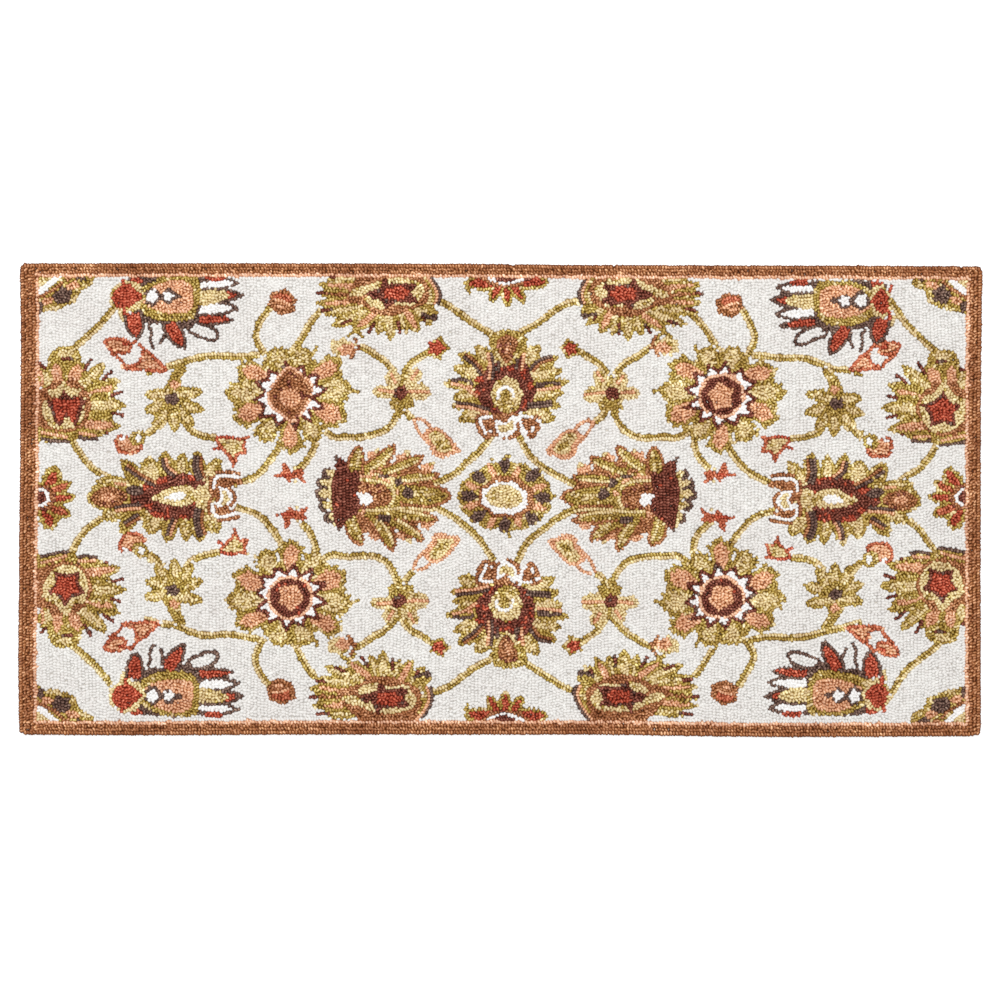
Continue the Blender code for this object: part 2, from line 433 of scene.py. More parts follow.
def crown_palmette(pen):
    """An upright palmette: a bud over a ringed eye, leaves to both sides and scrolls below."""
    pen.fill(oval(2, 12, 46, 42, 9, 0.04), "olive", bite=1.5)
    leaves(pen, (
        ((-12, 28), (-38, 56), 22, "straw"), ((-22, 22), (-60, 46), 19, "olive"),
        ((-24, 16), (-66, 29), 20, "straw"), ((-28, 6), (-78, 9), 16, "olive"),
        ((-28, -6), (-67, -9), 17, "straw"), ((-26, -14), (-70, -21), 15, "olive"),
        ((-20, -22), (-60, -39), 21, "straw"), ((18, 28), (44, 58), 22, "straw"),
        ((26, 22), (66, 42), 18, "olive"), ((28, 14), (72, 25), 21, "straw"),
        ((30, 4), (82, 11), 15, "olive"), ((30, -6), (76, -3), 17, "straw"),
        ((28, -14), (72, -20), 16, "olive"), ((24, -22), (64, -37), 22, "straw"),
    ))
    pen.patch("cocoa", (-18, 48), (-12, 34), (0, 30), (10, 32), (20, 48), (26, 34), (34, 20), (38, -4),
              (32, -20), (18, -29), (-12, -30), (-26, -22), (-36, -6), (-36, 6), (-30, 18), (-24, 30),
              bite=2)
    for x, y, wide, high in (
        (4, 28, 12, 3.5), (-32, 14, 5, 5), (24, 20, 4, 7), (-36, -4, 5, 5), (30, -19, 7, 4),
        (-18, -24, 6, 4), (33, 6, 3, 6),
    ):
        pen.fill(oval(x, y, wide, high, 4, 0.1), "ember", bite=1)
    streaks(pen, ("umber brown", (-28, 20), (-40, 33), (-53, 43)),
            ("peach umber", (-40, 6), (-54, 8), (-68, 10)), ("peach", (-34, -8), (-44, -1), (-56, 6)),
            ("umber", (-42, 11), (-60, 13)), ("peach umber", (-20, -27), (-40, -21), (-63, -18)),
            ("peach umber", (-19, 14), (-18, 30), (-20, 48)), ("umber", (-9, 24), (-9, 38)),
            ("umber brown", (33, 24), (43, 36), (60, 41)), ("umber peach", (40, 2), (56, 4), (72, 6)),
            ("umber", (40, 8), (64, 9)), ("umber umber", (27, -20), (44, -18), (60, -16)),
            ("umber peach", (19, 24), (20, 34), (22, 48)), ("umber", (14, 26), (16, 40)))
    pen.patch("olive", (-20, 62), (-14, 72), (4, 76), (22, 72), (29, 62), (20, 44), (3, 30), (-13, 44),
              bite=1.5)
    pen.patch("russet", (-9, 58), (-6, 66), (4, 70), (14, 66), (17, 58), (10, 43), (2, 34), (-5, 44))
    streaks(pen, ("peach", (5, 61), (4, 54), (1, 46)),
            ("straw", (-12, 50), (-5, 38), (2, 32), (9, 37), (16, 47)))
    pen.fill(oval(2, -5, 20, 22, 8, 0.06), "straw", bite=1.5)
    streaks(pen, ("white", (-10, -12), (-9, -2), (-2, 3), (6, 1), (10, -5), (10, -12)))
    pen.fill(oval(0, -8, 6, 9), "olive")
    pen.fill(oval(4, -22, 13, 8), "olive_light")
    pen.patch("brown", (-36, -31), (-20, -31), (0, -30), (22, -31), (42, -31), (45, -43), (35, -61),
              (22, -52), (16, -60), (1, -63), (-9, -58), (-18, -60), (-27, -62), (-37, -45), bite=1)
    pen.patch("white", (-12, -38), (-6, -39), (1, -42), (8, -33), (15, -35), (15, -50), (8, -58),
              (0, -60), (-9, -55))
    pen.patch("straw", (-8, -42), (-3, -45), (4, -43), (9, -39), (11, -48), (4, -53), (-5, -52))
    streaks(pen, ("white", (-15, -34), (-30, -35), (-30, -42), (-23, -56)),
            ("white", (-20, -54), (-16, -51)),
            ("white", (35, -34), (18, -34), (20, -42), (22, -49), (29, -55)),
            ("white", (39, -37), (45, -39)), ("white", (36, -45), (34, -53)))


def long_palmette(pen):
    """A long palmette with its bud to the left, a long ringed eye and scrolls to the right."""
    pen.fill(oval(0, 0, 62, 32, 10, 0.04), "olive", bite=1.5)
    leaves(pen, (
        ((-28, 12), (-54, 47), 24, "olive"), ((-46, 10), (-88, 21), 24, "straw"),
        ((-14, 18), (-20, 52), 28, "straw"), ((6, 20), (-1, 60), 21, "olive"),
        ((20, 20), (22, 57), 19, "straw"), ((42, 18), (41, 61), 22, "olive"),
        ((48, 14), (71, 49), 22, "straw"), ((-32, -10), (-57, -47), 22, "olive"),
        ((-46, -8), (-80, -27), 24, "straw"), ((-12, -16), (-20, -48), 26, "straw"),
        ((8, -18), (2, -58), 21, "olive"), ((24, -18), (27, -57), 18, "straw"),
        ((42, -14), (45, -56), 23, "olive"), ((50, -14), (69, -46), 23, "straw"),
    ))
    pen.patch("olive", (-99, -2), (-88, 15), (-68, 19), (-50, 12), (-44, 0), (-50, -12), (-68, -17),
              (-88, -13), bite=1.5)
    pen.patch("russet", (-94, -1), (-84, 10), (-70, 14), (-54, 8), (-48, 0), (-56, -9), (-70, -13),
              (-84, -10))
    pen.fill(oval(-72, 1, 9, 6), "peach")
    pen.patch("cocoa", (-44, 3), (-40, 11), (-26, 16), (-12, 23), (8, 28), (32, 26), (50, 20), (54, 8),
              (48, -6), (38, -24), (14, -29), (-8, -27), (-24, -17), (-42, -7), bite=2)
    for x, y, wide, high, turn in (
        (-23, 14, 7, 6, 20), (-4, 22, 8, 4, 15), (28, 25, 11, 4, -15), (-6, -23, 13, 4, -12),
        (-22, -12, 5, 4, 0), (26, -23, 9, 5, 10),
    ):
        pen.fill(oval(x, y, wide, high, turn=turn), "ember", bite=1)
    pen.fill(oval(-39, 9, 12, 6, turn=-8), "umber", bite=1)
    streaks(pen, ("umber brown", (-12, 17), (-31, 26), (-50, 38)), ("umber", (-24, 21), (-36, 25)),
            ("umber peach", (14, 27), (3, 37), (-1, 50)),
            ("umber umber brown", (46, 22), (41, 36), (42, 53)),
            ("peach umber", (-30, -12), (-46, -13), (-63, -15)),
            ("brown umber", (-32, -24), (-40, -29), (-51, -36)),
            ("peach umber", (12, -28), (6, -39), (4, -50)),
            ("brown umber umber", (45, -14), (42, -32), (47, -49)), ("peach", (-50, 15), (-66, 17)))
    pen.patch("straw", (-17, -1), (-4, 7), (10, 13), (22, 14), (36, 10), (42, 0), (34, -9), (20, -12),
              (4, -10), bite=1)
    pen.patch("white", (-2, -2), (10, 4), (22, 6), (27, 1), (22, -5), (8, -5))
    pen.fill(oval(49, 1, 12, 15, 6, 0.05), "straw", bite=1.5)
    pen.fill(oval(32, 1, 5, 5), "olive")
    pen.patch("brown", (60, 26), (72, 24), (86, 24), (97, 23), (97, 17), (88, 15), (82, 12), (90, 4),
              (89, -8), (80, -15), (90, -16), (90, -21), (78, -23), (66, -25), (60, -18), (66, -8),
              (62, 4))
    pen.patch("white", (66, 14), (72, 12), (80, 10), (86, 1), (84, -8), (72, -13), (64, -10), (70, 0))
    pen.patch("straw", (70, 8), (78, 6), (80, -3), (76, -10), (70, -8), (75, 0))
    streaks(pen, ("white", (61, 10), (62, 21), (68, 26), (82, 26), (94, 25)),
            ("white", (61, -10), (62, -19), (68, -25), (80, -24), (91, -20)),
            ("brown", (63, 31), (82, 31), (96, 30)), ("brown", (66, -30), (80, -29), (95, -25)),
            ("brown", (58, 26), (56, 14), (59, 2), (56, -10), (58, -22)), ("brown", (59, 2), (66, 1)))


def lotus(pen, boss=1.0):
    """Seen from the side: a pale cup in an olive ring, a red boss and pointed red and white petals."""
    pen.patch("umber", (-54, 27), (-46, 12), (-52, -12), (-36, -28), (-8, -32), (20, -36), (36, -30),
              (44, -10), (42, 16), (36, 29), bite=1)
    for root, tip, width, blend, share in (
        ((34, 18), (86, 22), 18, "white", 0.6), ((34, -10), (86, -12), 20, "white", 0.6),
        ((34, -23), (80, -27), 15, "brick", 0.66), ((-50, -18), (-44, -53), 24, "brick", 0.7),
        ((-6, -28), (17, -64), 22, "brick", 0.68), ((32, 5), (92, 6), 22, "brick", 0.66),
    ):
        shape = {"foot": 0.9, "belly": 0.35, "point": 0.8}
        pen.fill(blade(root, tip, width, **shape), "umber", bite=1.2)
        inner = blade(part_way(root, tip, 0.03), part_way(root, tip, 0.86), share * width, **shape)
        pen.fill(inner, blend, bite=0.8)
    pen.fill(blade((32, 3), (74, 6), 20, foot=0.8, belly=0.25, point=0.8), "straw")
    pen.fill(oval(54, 28, 13, 4), "brick")
    for petal in (
        ((24, -30), (36, -30), (54, -38), (58, -50), (46, -51), (32, -45), (20, -40)),
        ((-31, -32), (-27, -40), (-27, -52), (-22, -62)), ((-13, -34), (-10, -42), (-15, -56)),
        ((20, -28), (19, -38)),
    ):
        pen.strands(smooth(*petal), "umber")
    pen.fill(blade((26, -32), (53, -45), 11, foot=0.6), "ivory")
    pen.fill(blade((-20, -31), (-18, -50), 11, foot=0.9), "ivory")
    pen.fill(oval(-46, 25, 9, 4), "brick")
    pen.patch("olive", (-44, 6), (-36, 18), (-15, 28), (4, 29), (30, 28), (35, 8), (34, -8), (29, -20),
              (18, -26), (-2, -27), (-20, -25), (-41, -13), bite=0.8)
    pen.patch("peach", (-36, 3), (-25, 17), (-3, 24), (12, 24), (23, 19), (27, 11), (27, -10),
              (16, -16), (-2, -17), (-18, -14), (-34, -6), bite=0.8)
    for x, y, wide, high in ((-25, 4, 12, 11), (-4, 4, 10, 9), (8, 4, 6, 3)):
        pen.fill(oval(x, y, wide, high, 4, 0.08), "umber", bite=0.8)
    pen.fill(oval(-25, 5, 7.5, 8, 5, 0.12), "white")
    pen.fill(oval(-4, 4, 6, 6, 5, 0.2), "white")
    pen.fill(oval(-36 - 21 * boss, 4, 22 * boss, 21, 7, 0.05), "straw", bite=1.5)
    knob = smooth((-39, 2), (-32, 14), (-20, 16), (-10, 8), (-2, 0), (-10, -8), (-20, -15), (-34, -12),
                  closed=True)
    pen.fill(knob * (boss, 1) + (-36, 4), "brick", bite=1)
    pen.strands(smooth((-62, 16), (-64, 26)), "brick")
    pen.strands(smooth((-60, -8), (-60, -20)), "brick")
    pen.strands(smooth((-66, -14), (-62, -28)), "straw")


def pointed_leaf(pen, root, tip, width, heart):
    """A narrow leaf that runs out to a point, its olive rim one row of loops wide on each side."""
    shape = {"foot": 0.9, "belly": 0.45, "point": 0.75}
    pen.fill(blade(root, tip, width, **shape), "olive", bite=1.2)
    pen.fill(blade(root, part_way(root, tip, 0.86), max(width - 8.4, 5.0), **shape), heart, bite=0.6)


def side_palmette(pen, heart="star"):
    """Lies against the border: a red star or crown in rings, its leaves towards the field."""
    leaves(pen, (
        ((10, 30), (28, 54), 16, "olive"), ((20, 24), (52, 54), 18, "straw"),
        ((26, 20), (71, 31), 14, "olive"), ((26, 10), (66, 25), 19, "peach"),
        ((30, 8), (62, 12), 14, "olive"), ((28, 0), (79, 1), 20, "straw"),
        ((28, -12), (62, -12), 13, "olive"), ((20, -22), (71, -27), 19, "peach"),
        ((-16, 24), (-33, 48), 20, "straw"),
    ))
    streaks(pen, ("plum", (24, 44), (28, 51), (34, 60)), ("plum", (47, 31), (54, 38), (61, 42)),
            ("plum", (57, 12), (64, 14), (72, 17)), ("plum", (59, -10), (66, -11), (75, -13)),
            ("plum", (40, -32), (48, -32), (55, -36)), ("plum", (-32, 55), (-27, 49), (-20, 47)))
    pen.patch("olive", (-22, 54), (-15, 70), (0, 74), (16, 71), (21, 58), (20, 40), (6, 30), (-12, 30),
              (-20, 40), bite=1.5)
    pen.fill(oval(0, 66, 11, 5), "straw")
    pen.fill(blade((-9, 26), (-11, 54), 13, foot=0.8), "peach", bite=0.8)
    pen.fill(blade((8, 28), (18, 53), 15, foot=0.6), "peach", bite=0.8)
    streaks(pen, ("plum", (-5, 59), (10, 59)), ("peach", (-30, 20), (-29, 34), (-31, 44)))
    pen.patch("olive", (-36, -26), (-10, -30), (20, -30), (50, -30), (46, -38), (20, -42), (-4, -47),
              (-36, -44))
    streaks(pen, ("peach", (-32, -34), (-14, -38), (3, -42)),
            ("peach", (16, -35), (30, -36), (40, -38)), ("umber", (-32, -42), (-14, -46), (6, -47)),
            ("umber", (16, -40), (30, -42), (42, -41)))
    pen.fill(oval(-8, -3, 40, 31, 8, 0.03), "brown", bite=0.8)
    pen.fill(oval(-1, -2, 34, 33, 8, 0.03), "brown", bite=0.8)
    pen.fill(blade((-4, 14), (-17, 32), 16, foot=0.6), "brown", bite=1)
    pen.fill(blade((6, 16), (15, 32), 18, foot=0.6), "brown", bite=1)
    if heart == "star":
        pen.patch("straw", (-25, 12), (-28, -2), (-22, -18), (-8, -29), (10, -30), (24, -20), (29, -2),
                  (24, 16), (13, 18), (4, 32), (-3, 30), (-12, 18), bite=0.8)
        pen.fill(star(1, -3, 27, 24, 5, 0.42, turn=90, uneven=1.5), "plum", bite=0.5)
        pen.fill(star(1, -3, 19, 17, 5, 0.34, turn=90), "brick")
        return
    pen.patch("straw", (-23, 9), (-29, 2), (-29, -10), (-20, -27), (-5, -31), (14, -27), (24, -15),
              (26, 0), (25, 10), (14, 2), (-12, 2), bite=0.8)
    crown = ((-24, 21), (-10, 22), (-2, 32), (6, 22), (22, 20), (17, 12), (4, 10), (-1, 20), (-8, 10),
             (-18, 12))
    pen.fill(np.array(crown), "straw")
    pen.patch("plum", (-7, 9), (-2, 18), (5, 11), (22, 9), (25, 3), (23, -6), (17, -20), (12, -26),
              (4, -15), (-2, -20), (-7, -27), (-14, -20), (-18, -4), (-23, 5))
    pen.patch("brick", (-14, 8), (4, 6), (20, 8), (17, -6), (13, -20), (8, -20), (3, -10), (-5, -21),
              (-11, -18), (-13, -4))


def cut_palmette(pen):
    """Cut off by the border: a red star in a straw and a brown ring, leaves to the left and below."""
    for root, tip, width, blend in (
        ((-20, 24), (-74, 29), 15, "straw"), ((-24, 16), (-86, 19), 15, "peach"),
        ((-36, 6), (-90, 8), 13, "brown"), ((-30, -2), (-88, -5), 15, "peach"),
        ((-26, -10), (-84, -16), 15, "straw"), ((-16, -14), (-68, -32), 17, "straw"),
        ((-8, -16), (-42, -40), 16, "peach"), ((-2, -16), (-10, -46), 14, "straw"),
        ((6, -12), (7, -52), 19, "straw"), ((20, -12), (28, -44), 14, "straw"),
        ((26, -10), (44, -42), 17, "peach"), ((36, -8), (60, -32), 15, "straw"),
    ):
        pointed_leaf(pen, root, tip, width, blend)
    for spike in (
        ((-13, -30), (-22, -44)), ((18, -28), (19, -44)), ((-42, -26), (-56, -31)),
        ((-62, 28), (-80, 30)), ((-78, 8), (-88, 7)), ((-66, -12), (-80, -14)), ((46, -18), (52, -27)),
    ):
        pen.strands(smooth(*spike), "plum")
    pen.fill(oval(56, -11, 12, 6, 5, 0.1, turn=-25), "olive")
    streaks(pen, ("umber", (46, -17), (56, -21), (65, -25)), ("umber", (60, -18), (67, -21)))
    for shift, yarn in ((0, "umber"), (-4, "peach"), (-8.3, "olive"), (-12.5, "straw")):
        ring = np.array(((51, 37), (60, 27), (68, 14), (70, 4), (66, -6))) + (shift, 0)
        pen.strands(smooth(*ring), yarn)
    pen.strands(smooth((-48, -48), (-40, -42), (-32, -44), (-30, -50)), "olive")
    pen.patch("brown", (-50, 3), (-38, 22), (-12, 40), (40, 40), (55, 16), (55, 0), (40, -10),
              (14, -20), (-10, -18), (-24, -9), (-42, -4), bite=1)
    pen.patch("straw", (-46, 6), (-38, 14), (-20, 19), (-4, 26), (14, 27), (40, 23), (50, 12), (44, 1),
              (36, -8), (10, -8), (0, -12), (-18, -8), (-28, 2), bite=1)
    pen.strands(smooth((-34, 2), (-26, 3), (-20, 10)), "brown")
    pen.patch("plum", (0, 30), (5, 21), (22, 20), (40, 18), (33, 8), (41, -2), (30, -6), (14, -4),
              (2, -11), (-4, -1), (-21, 4), (-19, 12), (-6, 16), bite=1)
    pen.fill(oval(14, 8, 16, 9, 5, 0.12), "brick", bite=1)


def half_rosette(pen):
    """Half of a small rosette, hanging from the border: its petals point down."""
    for tip in ((-54, 6), (-22, -19), (1, -25), (23, -20), (55, 9)):
        root = (tip[0] * 0.28, 6)
        pointed_leaf(pen, root, tip, 20 if abs(tip[0]) > 30 else 15, "brick")
    pen.strands(smooth((-46, -8), (-52, 2)), "olive")
    pen.fill(oval(0, 14, 30, 14, 6, 0.05), "russet", bite=0.8)
    pen.fill(oval(0, 15, 24, 11, 6, 0.05, start=30), "white")
    pen.fill(oval(0, 16, 16, 9), "plum")


def corner_piece(pen):
    """Fills a corner: straw in the corner itself, a white line, and a leafy bar across it."""
    pen.patch("olive", (-42, -30), (-28, -16), (-4, -11), (14, -2), (20, 10), (34, 18), (36, 34),
              (-2, 34), (-20, 18), (-42, 4), bite=1.4)
    pen.fill(np.array(((-46, 44), (2, 44), (-5, 27), (-18, 16), (-30, 6), (-46, -2))), "white")
    pen.fill(np.array(((-46, 44), (-2, 44), (-14, 29), (-24, 21), (-35, 13), (-46, 5))), "straw")
    streaks(pen, ("brown", (-34, 2), (-22, 9), (-10, 16), (1, 27)))
    pen.fill(oval(-2, 6, 12, 10, 5, 0.12, turn=25), "umber", bite=1)
    for x, y, wide, high, turn, blend in (
        (-21, 0, 8, 5, 20, "peach"), (11, 18, 9, 5, 15, "peach"), (20, 28, 9, 4, -10, "umber"),
        (-30, -9, 4, 7, 0, "umber"), (12, -1, 4, 3, 0, "straw"), (-12, -10, 7, 3, 10, "straw"),
        (26, 18, 4, 3, 0, "straw"), (4, 27, 5, 3, 0, "brown"),
    ):
        pen.fill(oval(x, y, wide, high, turn=turn), blend, bite=0.6)


def leaf_floret(pen):
    """Pointed olive leaves round a dark middle, and a peach sepal towards the stalk."""
    pen.patch("olive", (-12, 10), (-8, 22), (-2, 33), (8, 46), (17, 40), (9, 24), (12, 10), (0, 4),
              bite=1)
    leaves(pen, (
        ((0, 4), (-36, 7), 17, "straw"), ((0, 6), (39, 11), 17, "straw"),
        ((0, -4), (-37, -15), 17, "straw"), ((2, -4), (40, -14), 17, "straw"),
        ((0, -6), (-25, -34), 17, "straw"), ((4, -8), (26, -36), 17, "straw"),
        ((2, -10), (2, -42), 17, "straw"),
    ))
    pen.fill(oval(1, -7, 14, 11, 7, 0.1), "olive")
    pen.fill(oval(1, 18, 6, 5, 4, 0.1), "peach", bite=0.6)
    pen.fill(oval(-1, 0, 9, 7, 5, 0.15), "umber")


def straw_floret(pen):
    """Pale petals round a plum middle, over two olive sepals."""
    for tip, width in (((22, 30), 19), ((-18, 26), 19), ((37, -1), 22), ((-38, 1), 16)):
        pen.fill(blade((0, 2), tip, width, foot=0.7, belly=0.6, point=0.6), "straw", bite=1.5)
    for streak in (((8, 1), (36, 0)), ((-8, 1), (-30, 3)), ((11, 15), (19, 29)), ((-7, 12), (-15, 24))):
        pen.strands(smooth(*streak), "peach")
    for tip in ((-14, -20), (16, -20)):
        pen.fill(blade((0, -4), tip, 13, foot=0.8), "olive", bite=1)
    pen.fill(oval(-3, -20, 6, 12), "olive")
    pen.strands(smooth((0, 8), (1, 24)), "olive")
    pen.fill(oval(-1, 0, 9, 8.5, 5, 0.08), "plum")


def brown_bud(pen):
    """A round bud, rust above and peach below inside a brown rim."""
    pen.fill(oval(0, 1, 18, 15.5, 6, 0.07, start=20), "brown")
    pen.fill(oval(0, 6, 12, 6), "rust")
    pen.fill(oval(-1, -4, 12, 6), "russet")
    streaks(pen, ("peach", (-11, 3), (0, 2), (10, -3)), ("peach", (-8, -5), (2, -6)))


def peach_bud(pen):
    """A ragged straw bud with a peach middle and a brown sepal across its foot."""
    pen.fill(star(-5, 2, 16, 13, 6, 0.2, turn=20, uneven=1.5), "straw", bite=1)
    pen.fill(star(0, 0, 11, 9, 5, 0.25, turn=30, uneven=1), "peach", bite=0.6)
    streaks(pen, ("brown", (10, 14), (14, 5), (11, -4), (6, -13)), ("brown", (14, 5), (17, -3)))


def red_bud(pen):
    pen.fill(star(-1, 0, 18, 16, 5, 0.42, turn=72, uneven=2), "olive")
    pen.fill(oval(0, -1, 11, 12, 4, 0.08), "olive")
    pen.fill(star(-1, 0, 12, 11, 5, 0.35, turn=72), "brick")


def pink_bud(pen):
    """A drooping bud: a ragged peach outline round straw and olive, an open window at the stalk."""
    pen.patch("peach", (-15, 0), (-8, 10), (3, 13), (15, 5), (24, -5), (32, -18), (20, -22), (8, -26),
              (-3, -22), (-7, -12), bite=1.4)
    pen.patch("straw", (-8, 1), (-2, 8), (8, 6), (17, -4), (23, -15), (12, -19), (2, -17), (-2, -8))
    pen.fill(oval(10, -9, 8, 4, turn=-30), "olive")
    streaks(pen, ("peach", (-27, 23), (-16, 22), (-8, 17), (-3, 10)),
            ("peach", (-27, 23), (-24, 14), (-19, 5), (-13, -3)))


def looped_bud(pen):
    """A bud of peach and rust that hangs from a ring of its stalk."""
    pen.patch("peach", (-21, 8), (-10, 9), (0, 5), (8, -1), (13, -7), (6, -15), (-14, -16), (-22, -5),
              edge="rust", bite=1)
    pen.fill(oval(-13, 5, 5, 3, turn=10), "white")
    pen.fill(oval(6, 5, 11, 9.5, 5, 0.04, turn=30), "olive")
    pen.fill(oval(7, 5, 4, 5.5, turn=-15), "white")
    streaks(pen, ("straw olive", (17, 9), (24, 15), (34, 26)))


def straw_bud(pen):
    """A straw bud with a ragged brick outline that comes to a point below."""
    pen.patch("straw", (-22, 12), (-8, 13), (2, 15), (10, 13), (22, 14), (17, 4), (20, -8), (9, -9),
              (5, -15), (0, -24), (-6, -11), (-14, -3), edge="rust", bite=1.4)
    streaks(pen, ("brick", (-20, 11), (-8, 13), (4, 13)), ("brick", (-25, -4), (-16, -1)),
            ("olive", (6, -2), (8, 4)))


def three_tipped_sprig(pen):
    """A ragged star of five thin tips, brick in its middle, and a stray loop below."""
    pen.patch("rust", (-26, -2), (-14, 3), (-12, 18), (-5, 13), (0, 4), (11, 7), (22, 3), (18, -2),
              (23, -14), (13, -8), (4, -6), (-2, -12), (-8, -6), bite=1)
    streaks(pen, ("brick", (-17, -2), (-8, -2), (2, -1)), ("straw", (4, 10), (9, 6)),
            ("straw", (5, -10), (9, -11)))


def two_lobed_sprig(pen):
    """Two ragged lobes of peach edged with rust, joined by rust lines round a pale window."""
    pen.patch("peach", (-38, 20), (-26, 24), (-11, 22), (-3, 13), (-7, 2), (-18, 2), (-28, 4),
              (-35, 11), edge="rust", bite=1.4)
    pen.patch("peach", (10, 7), (20, 4), (30, -6), (43, -20), (26, -22), (6, -21), (-10, -19),
              (-14, -13), (2, -11), (7, -3), edge="rust", bite=1.4)
    streaks(pen, ("rust", (-3, 14), (2, 18), (6, 12), (12, 6)),
            ("rust", (-30, 4), (-22, -1), (-16, -6), (-11, -13)), ("brick", (-16, 16), (-8, 13)))


def side_rosette(pen):
    """Half of a rosette against the left border: a leaf up and down and ribs to the right."""
    for root, tip, width in (((-10, 10), (8, 42), 24), ((-10, -8), (0, -38), 22)):
        start, end = part_way(root, tip, 0.06), part_way(root, tip, 0.84)
        pen.fill(blade(root, tip, width, foot=0.8, point=0.5), "olive", bite=2.2)
        pen.fill(blade(start, end, 0.5 * width, foot=0.8, point=0.5), "brick", bite=1.32)
    leaves(pen, (
        ((-4, 8), (24, 24), 18, "rust"), ((0, 3), (31, 4), 16, "brick"),
        ((-4, -8), (24, -20), 18, "rust"),
    ))
    pen.fill(oval(-14, 3, 18, 17, 6, 0.05), "russet")
    pen.fill(oval(-15, 3, 12.5, 12), "white")
    pen.fill(oval(-17, 3, 9, 8), "plum")


# Placing

RUG_LOW, RUG_HIGH = (np.array(corner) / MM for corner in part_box("rug"))


def rug_sides():
    """Each side's line as the solid has it: functions of the place along it, in millimetres."""
    rim = np.array([v.co for v in bpy.data.objects["rug"].data.vertices]) / MM
    rim = np.unique(rim[rim[:, 2] < 0.1][:, :2].round(2), axis=0)
    near = 8.0
    sides = {}
    for name, along, sign in (("top", 0, 1), ("bottom", 0, -1), ("right", 1, 1), ("left", 1, -1)):
        out = sign * rim[:, 1 - along]
        line = rim[out > out.max() - near]
        line = line[np.argsort(line[:, along])]
        sides[name] = line[:, along], line[:, 1 - along]
    return {name: (lambda at, s=s: np.interp(at, *s)) for name, s in sides.items()}


SIDES = rug_sides()
BORDER = {"left": 4, "right": 3, "top": 3, "bottom": 3}  # rows of the outer band
BAND = {"left": 18.0, "right": 14.6, "top": 11.4, "bottom": 12.4}  # and its width, mm
GUARD = 4.6  # width of the single pale row inside it, mm


def inside_line(side, depth, waver, rng):
    """A line along one side, a depth inside it, that wavers by about so much."""
    low, high = RUG_LOW, RUG_HIGH
    along = 0 if side in ("top", "bottom") else 1
    at = np.linspace(low[along], high[along], 400)
    waves = sum(np.sin(at / length + rng.uniform(0, 2 * np.pi)) for length in (2.6, 4.1, 15.0))
    depth = depth + waver * waves
    across = SIDES[side](at) + np.where(side in ("top", "right"), -1, 1) * depth
    return np.stack((at, across) if along == 0 else (across, at), 1)


def frame_outline(grow):
    """The outline inside each side by grow of the band's width, and past 1 by the guard's width too."""
    depth = {s: BAND[s] * min(grow, 1) + GUARD * max(grow - 1, 0) for s in BAND}
    sign = {"left": 1, "right": -1, "bottom": 1, "top": -1}
    line = {s: (lambda at, s=s: SIDES[s](at) + sign[s] * depth[s]) for s in BAND}
    corners = {}
    for flat in ("bottom", "top"):
        for upright in ("left", "right"):
            x, y = line[upright](0.0), line[flat](0.0)
            for _ in range(4):
                x, y = line[upright](y), line[flat](x)
            corners[flat, upright] = x, y
    parts = []
    for flat, upright, back in (("bottom", "right", False), ("top", "left", True)):
        ends = [corners[flat, side][0] for side in ("left", "right")]
        x = np.linspace(*(ends[::-1] if back else ends), 160)
        parts.append(np.stack((x, line[flat](x)), 1)[:-1])
        ends = [corners[side, upright][1] for side in ("bottom", "top")]
        y = np.linspace(*(ends[::-1] if back else ends), 80)
        parts.append(np.stack((line[upright](y), y), 1)[:-1])
    return np.vstack(parts)


MIDDLE = np.array((5.7, 4.7))  # the pattern's middle on the rug, mm
QUARTERS = ((-1, 1), (1, 1), (-1, -1), (1, -1))  # left top, right top, left bottom, right bottom
# Where each figure stands in the four quarters, mm from the pattern's middle: hand work set them apart
FOURFOLD = (
    (great_rosette, (-273, 130), (275.5, 130), (-273, -129), (275.5, -129)),
    (side_palmette, (-558.6, 116), (557.4, 112.4), (-558.6, -118), (556, -113.6)),
    (lotus, (-422.8, 250), (427.9, 244.4), (-422.8, -249), (419, -248.2)),
    (cut_palmette, (-152.7, 250.3), (163.8, 249.5), (-161.2, -248), (158.7, -246)),
    (corner_piece, (-560, 250), (552.8, 250), (-560, -258.4), (552.8, -258.4)),
    (leaf_floret, (-421.5, 123.8), (420.2, 118.7), (-421.5, -120), (420.2, -125.1)),
    (straw_floret, (-130.8, 132.7), (135.8, 130.1), (-133.3, -132.7), (133.3, -132.7)),
    (brown_bud, (-281.9, 245.7), (285.7, 243.1), (-284.4, -246.9), (279.3, -248.2)),
    (peach_bud, (-201.9, 188.5), (201.9, 189.8), (-205.7, -187.3), (201.9, -187.3)),
    (red_bud, (-86.3, 188.5), (82.5, 188.5), (-82.5, -191.1), (86.3, -189.8)),
    (pink_bud, (-88.9, 75.5), (85, 73), (-88.9, -71), (87.6, -74.3)),
    (looped_bud, (-472.3, 69.2), (471, 65.4), (-468.5, -62.8), (471, -74.3)),
    (straw_bud, (-346.6, 62.8), (344, 64.1), (-344, -61.6), (346.6, -67.9)),
    (three_tipped_sprig, (-273, 28.6), (271.7, 28.6), (-269.2, -24.8), (269.2, -27.3)),
    (two_lobed_sprig, (-471, 179.6), (471, 177.1), (-476.1, -177.1), (469.8, -182.2)),
)
# How large a figure of each quarter is, and how else it differs
SIZES = {
    two_lobed_sprig: (1.0, 0.85, 0.9, 0.88), three_tipped_sprig: (0.85, 0.85, 0.9, 0.9),
    straw_bud: (1.0, 0.9, 0.86, 0.8), red_bud: (1.0, 0.85, 0.9, 0.9),
}
VARIANTS = {
    great_rosette: ({"heart": "brown"}, {}, {}, {}), side_palmette: ({"heart": "crown"}, {}, {}, {}),
    lotus: ({}, {"boss": 0.62}, {}, {"boss": 0.8}),
}
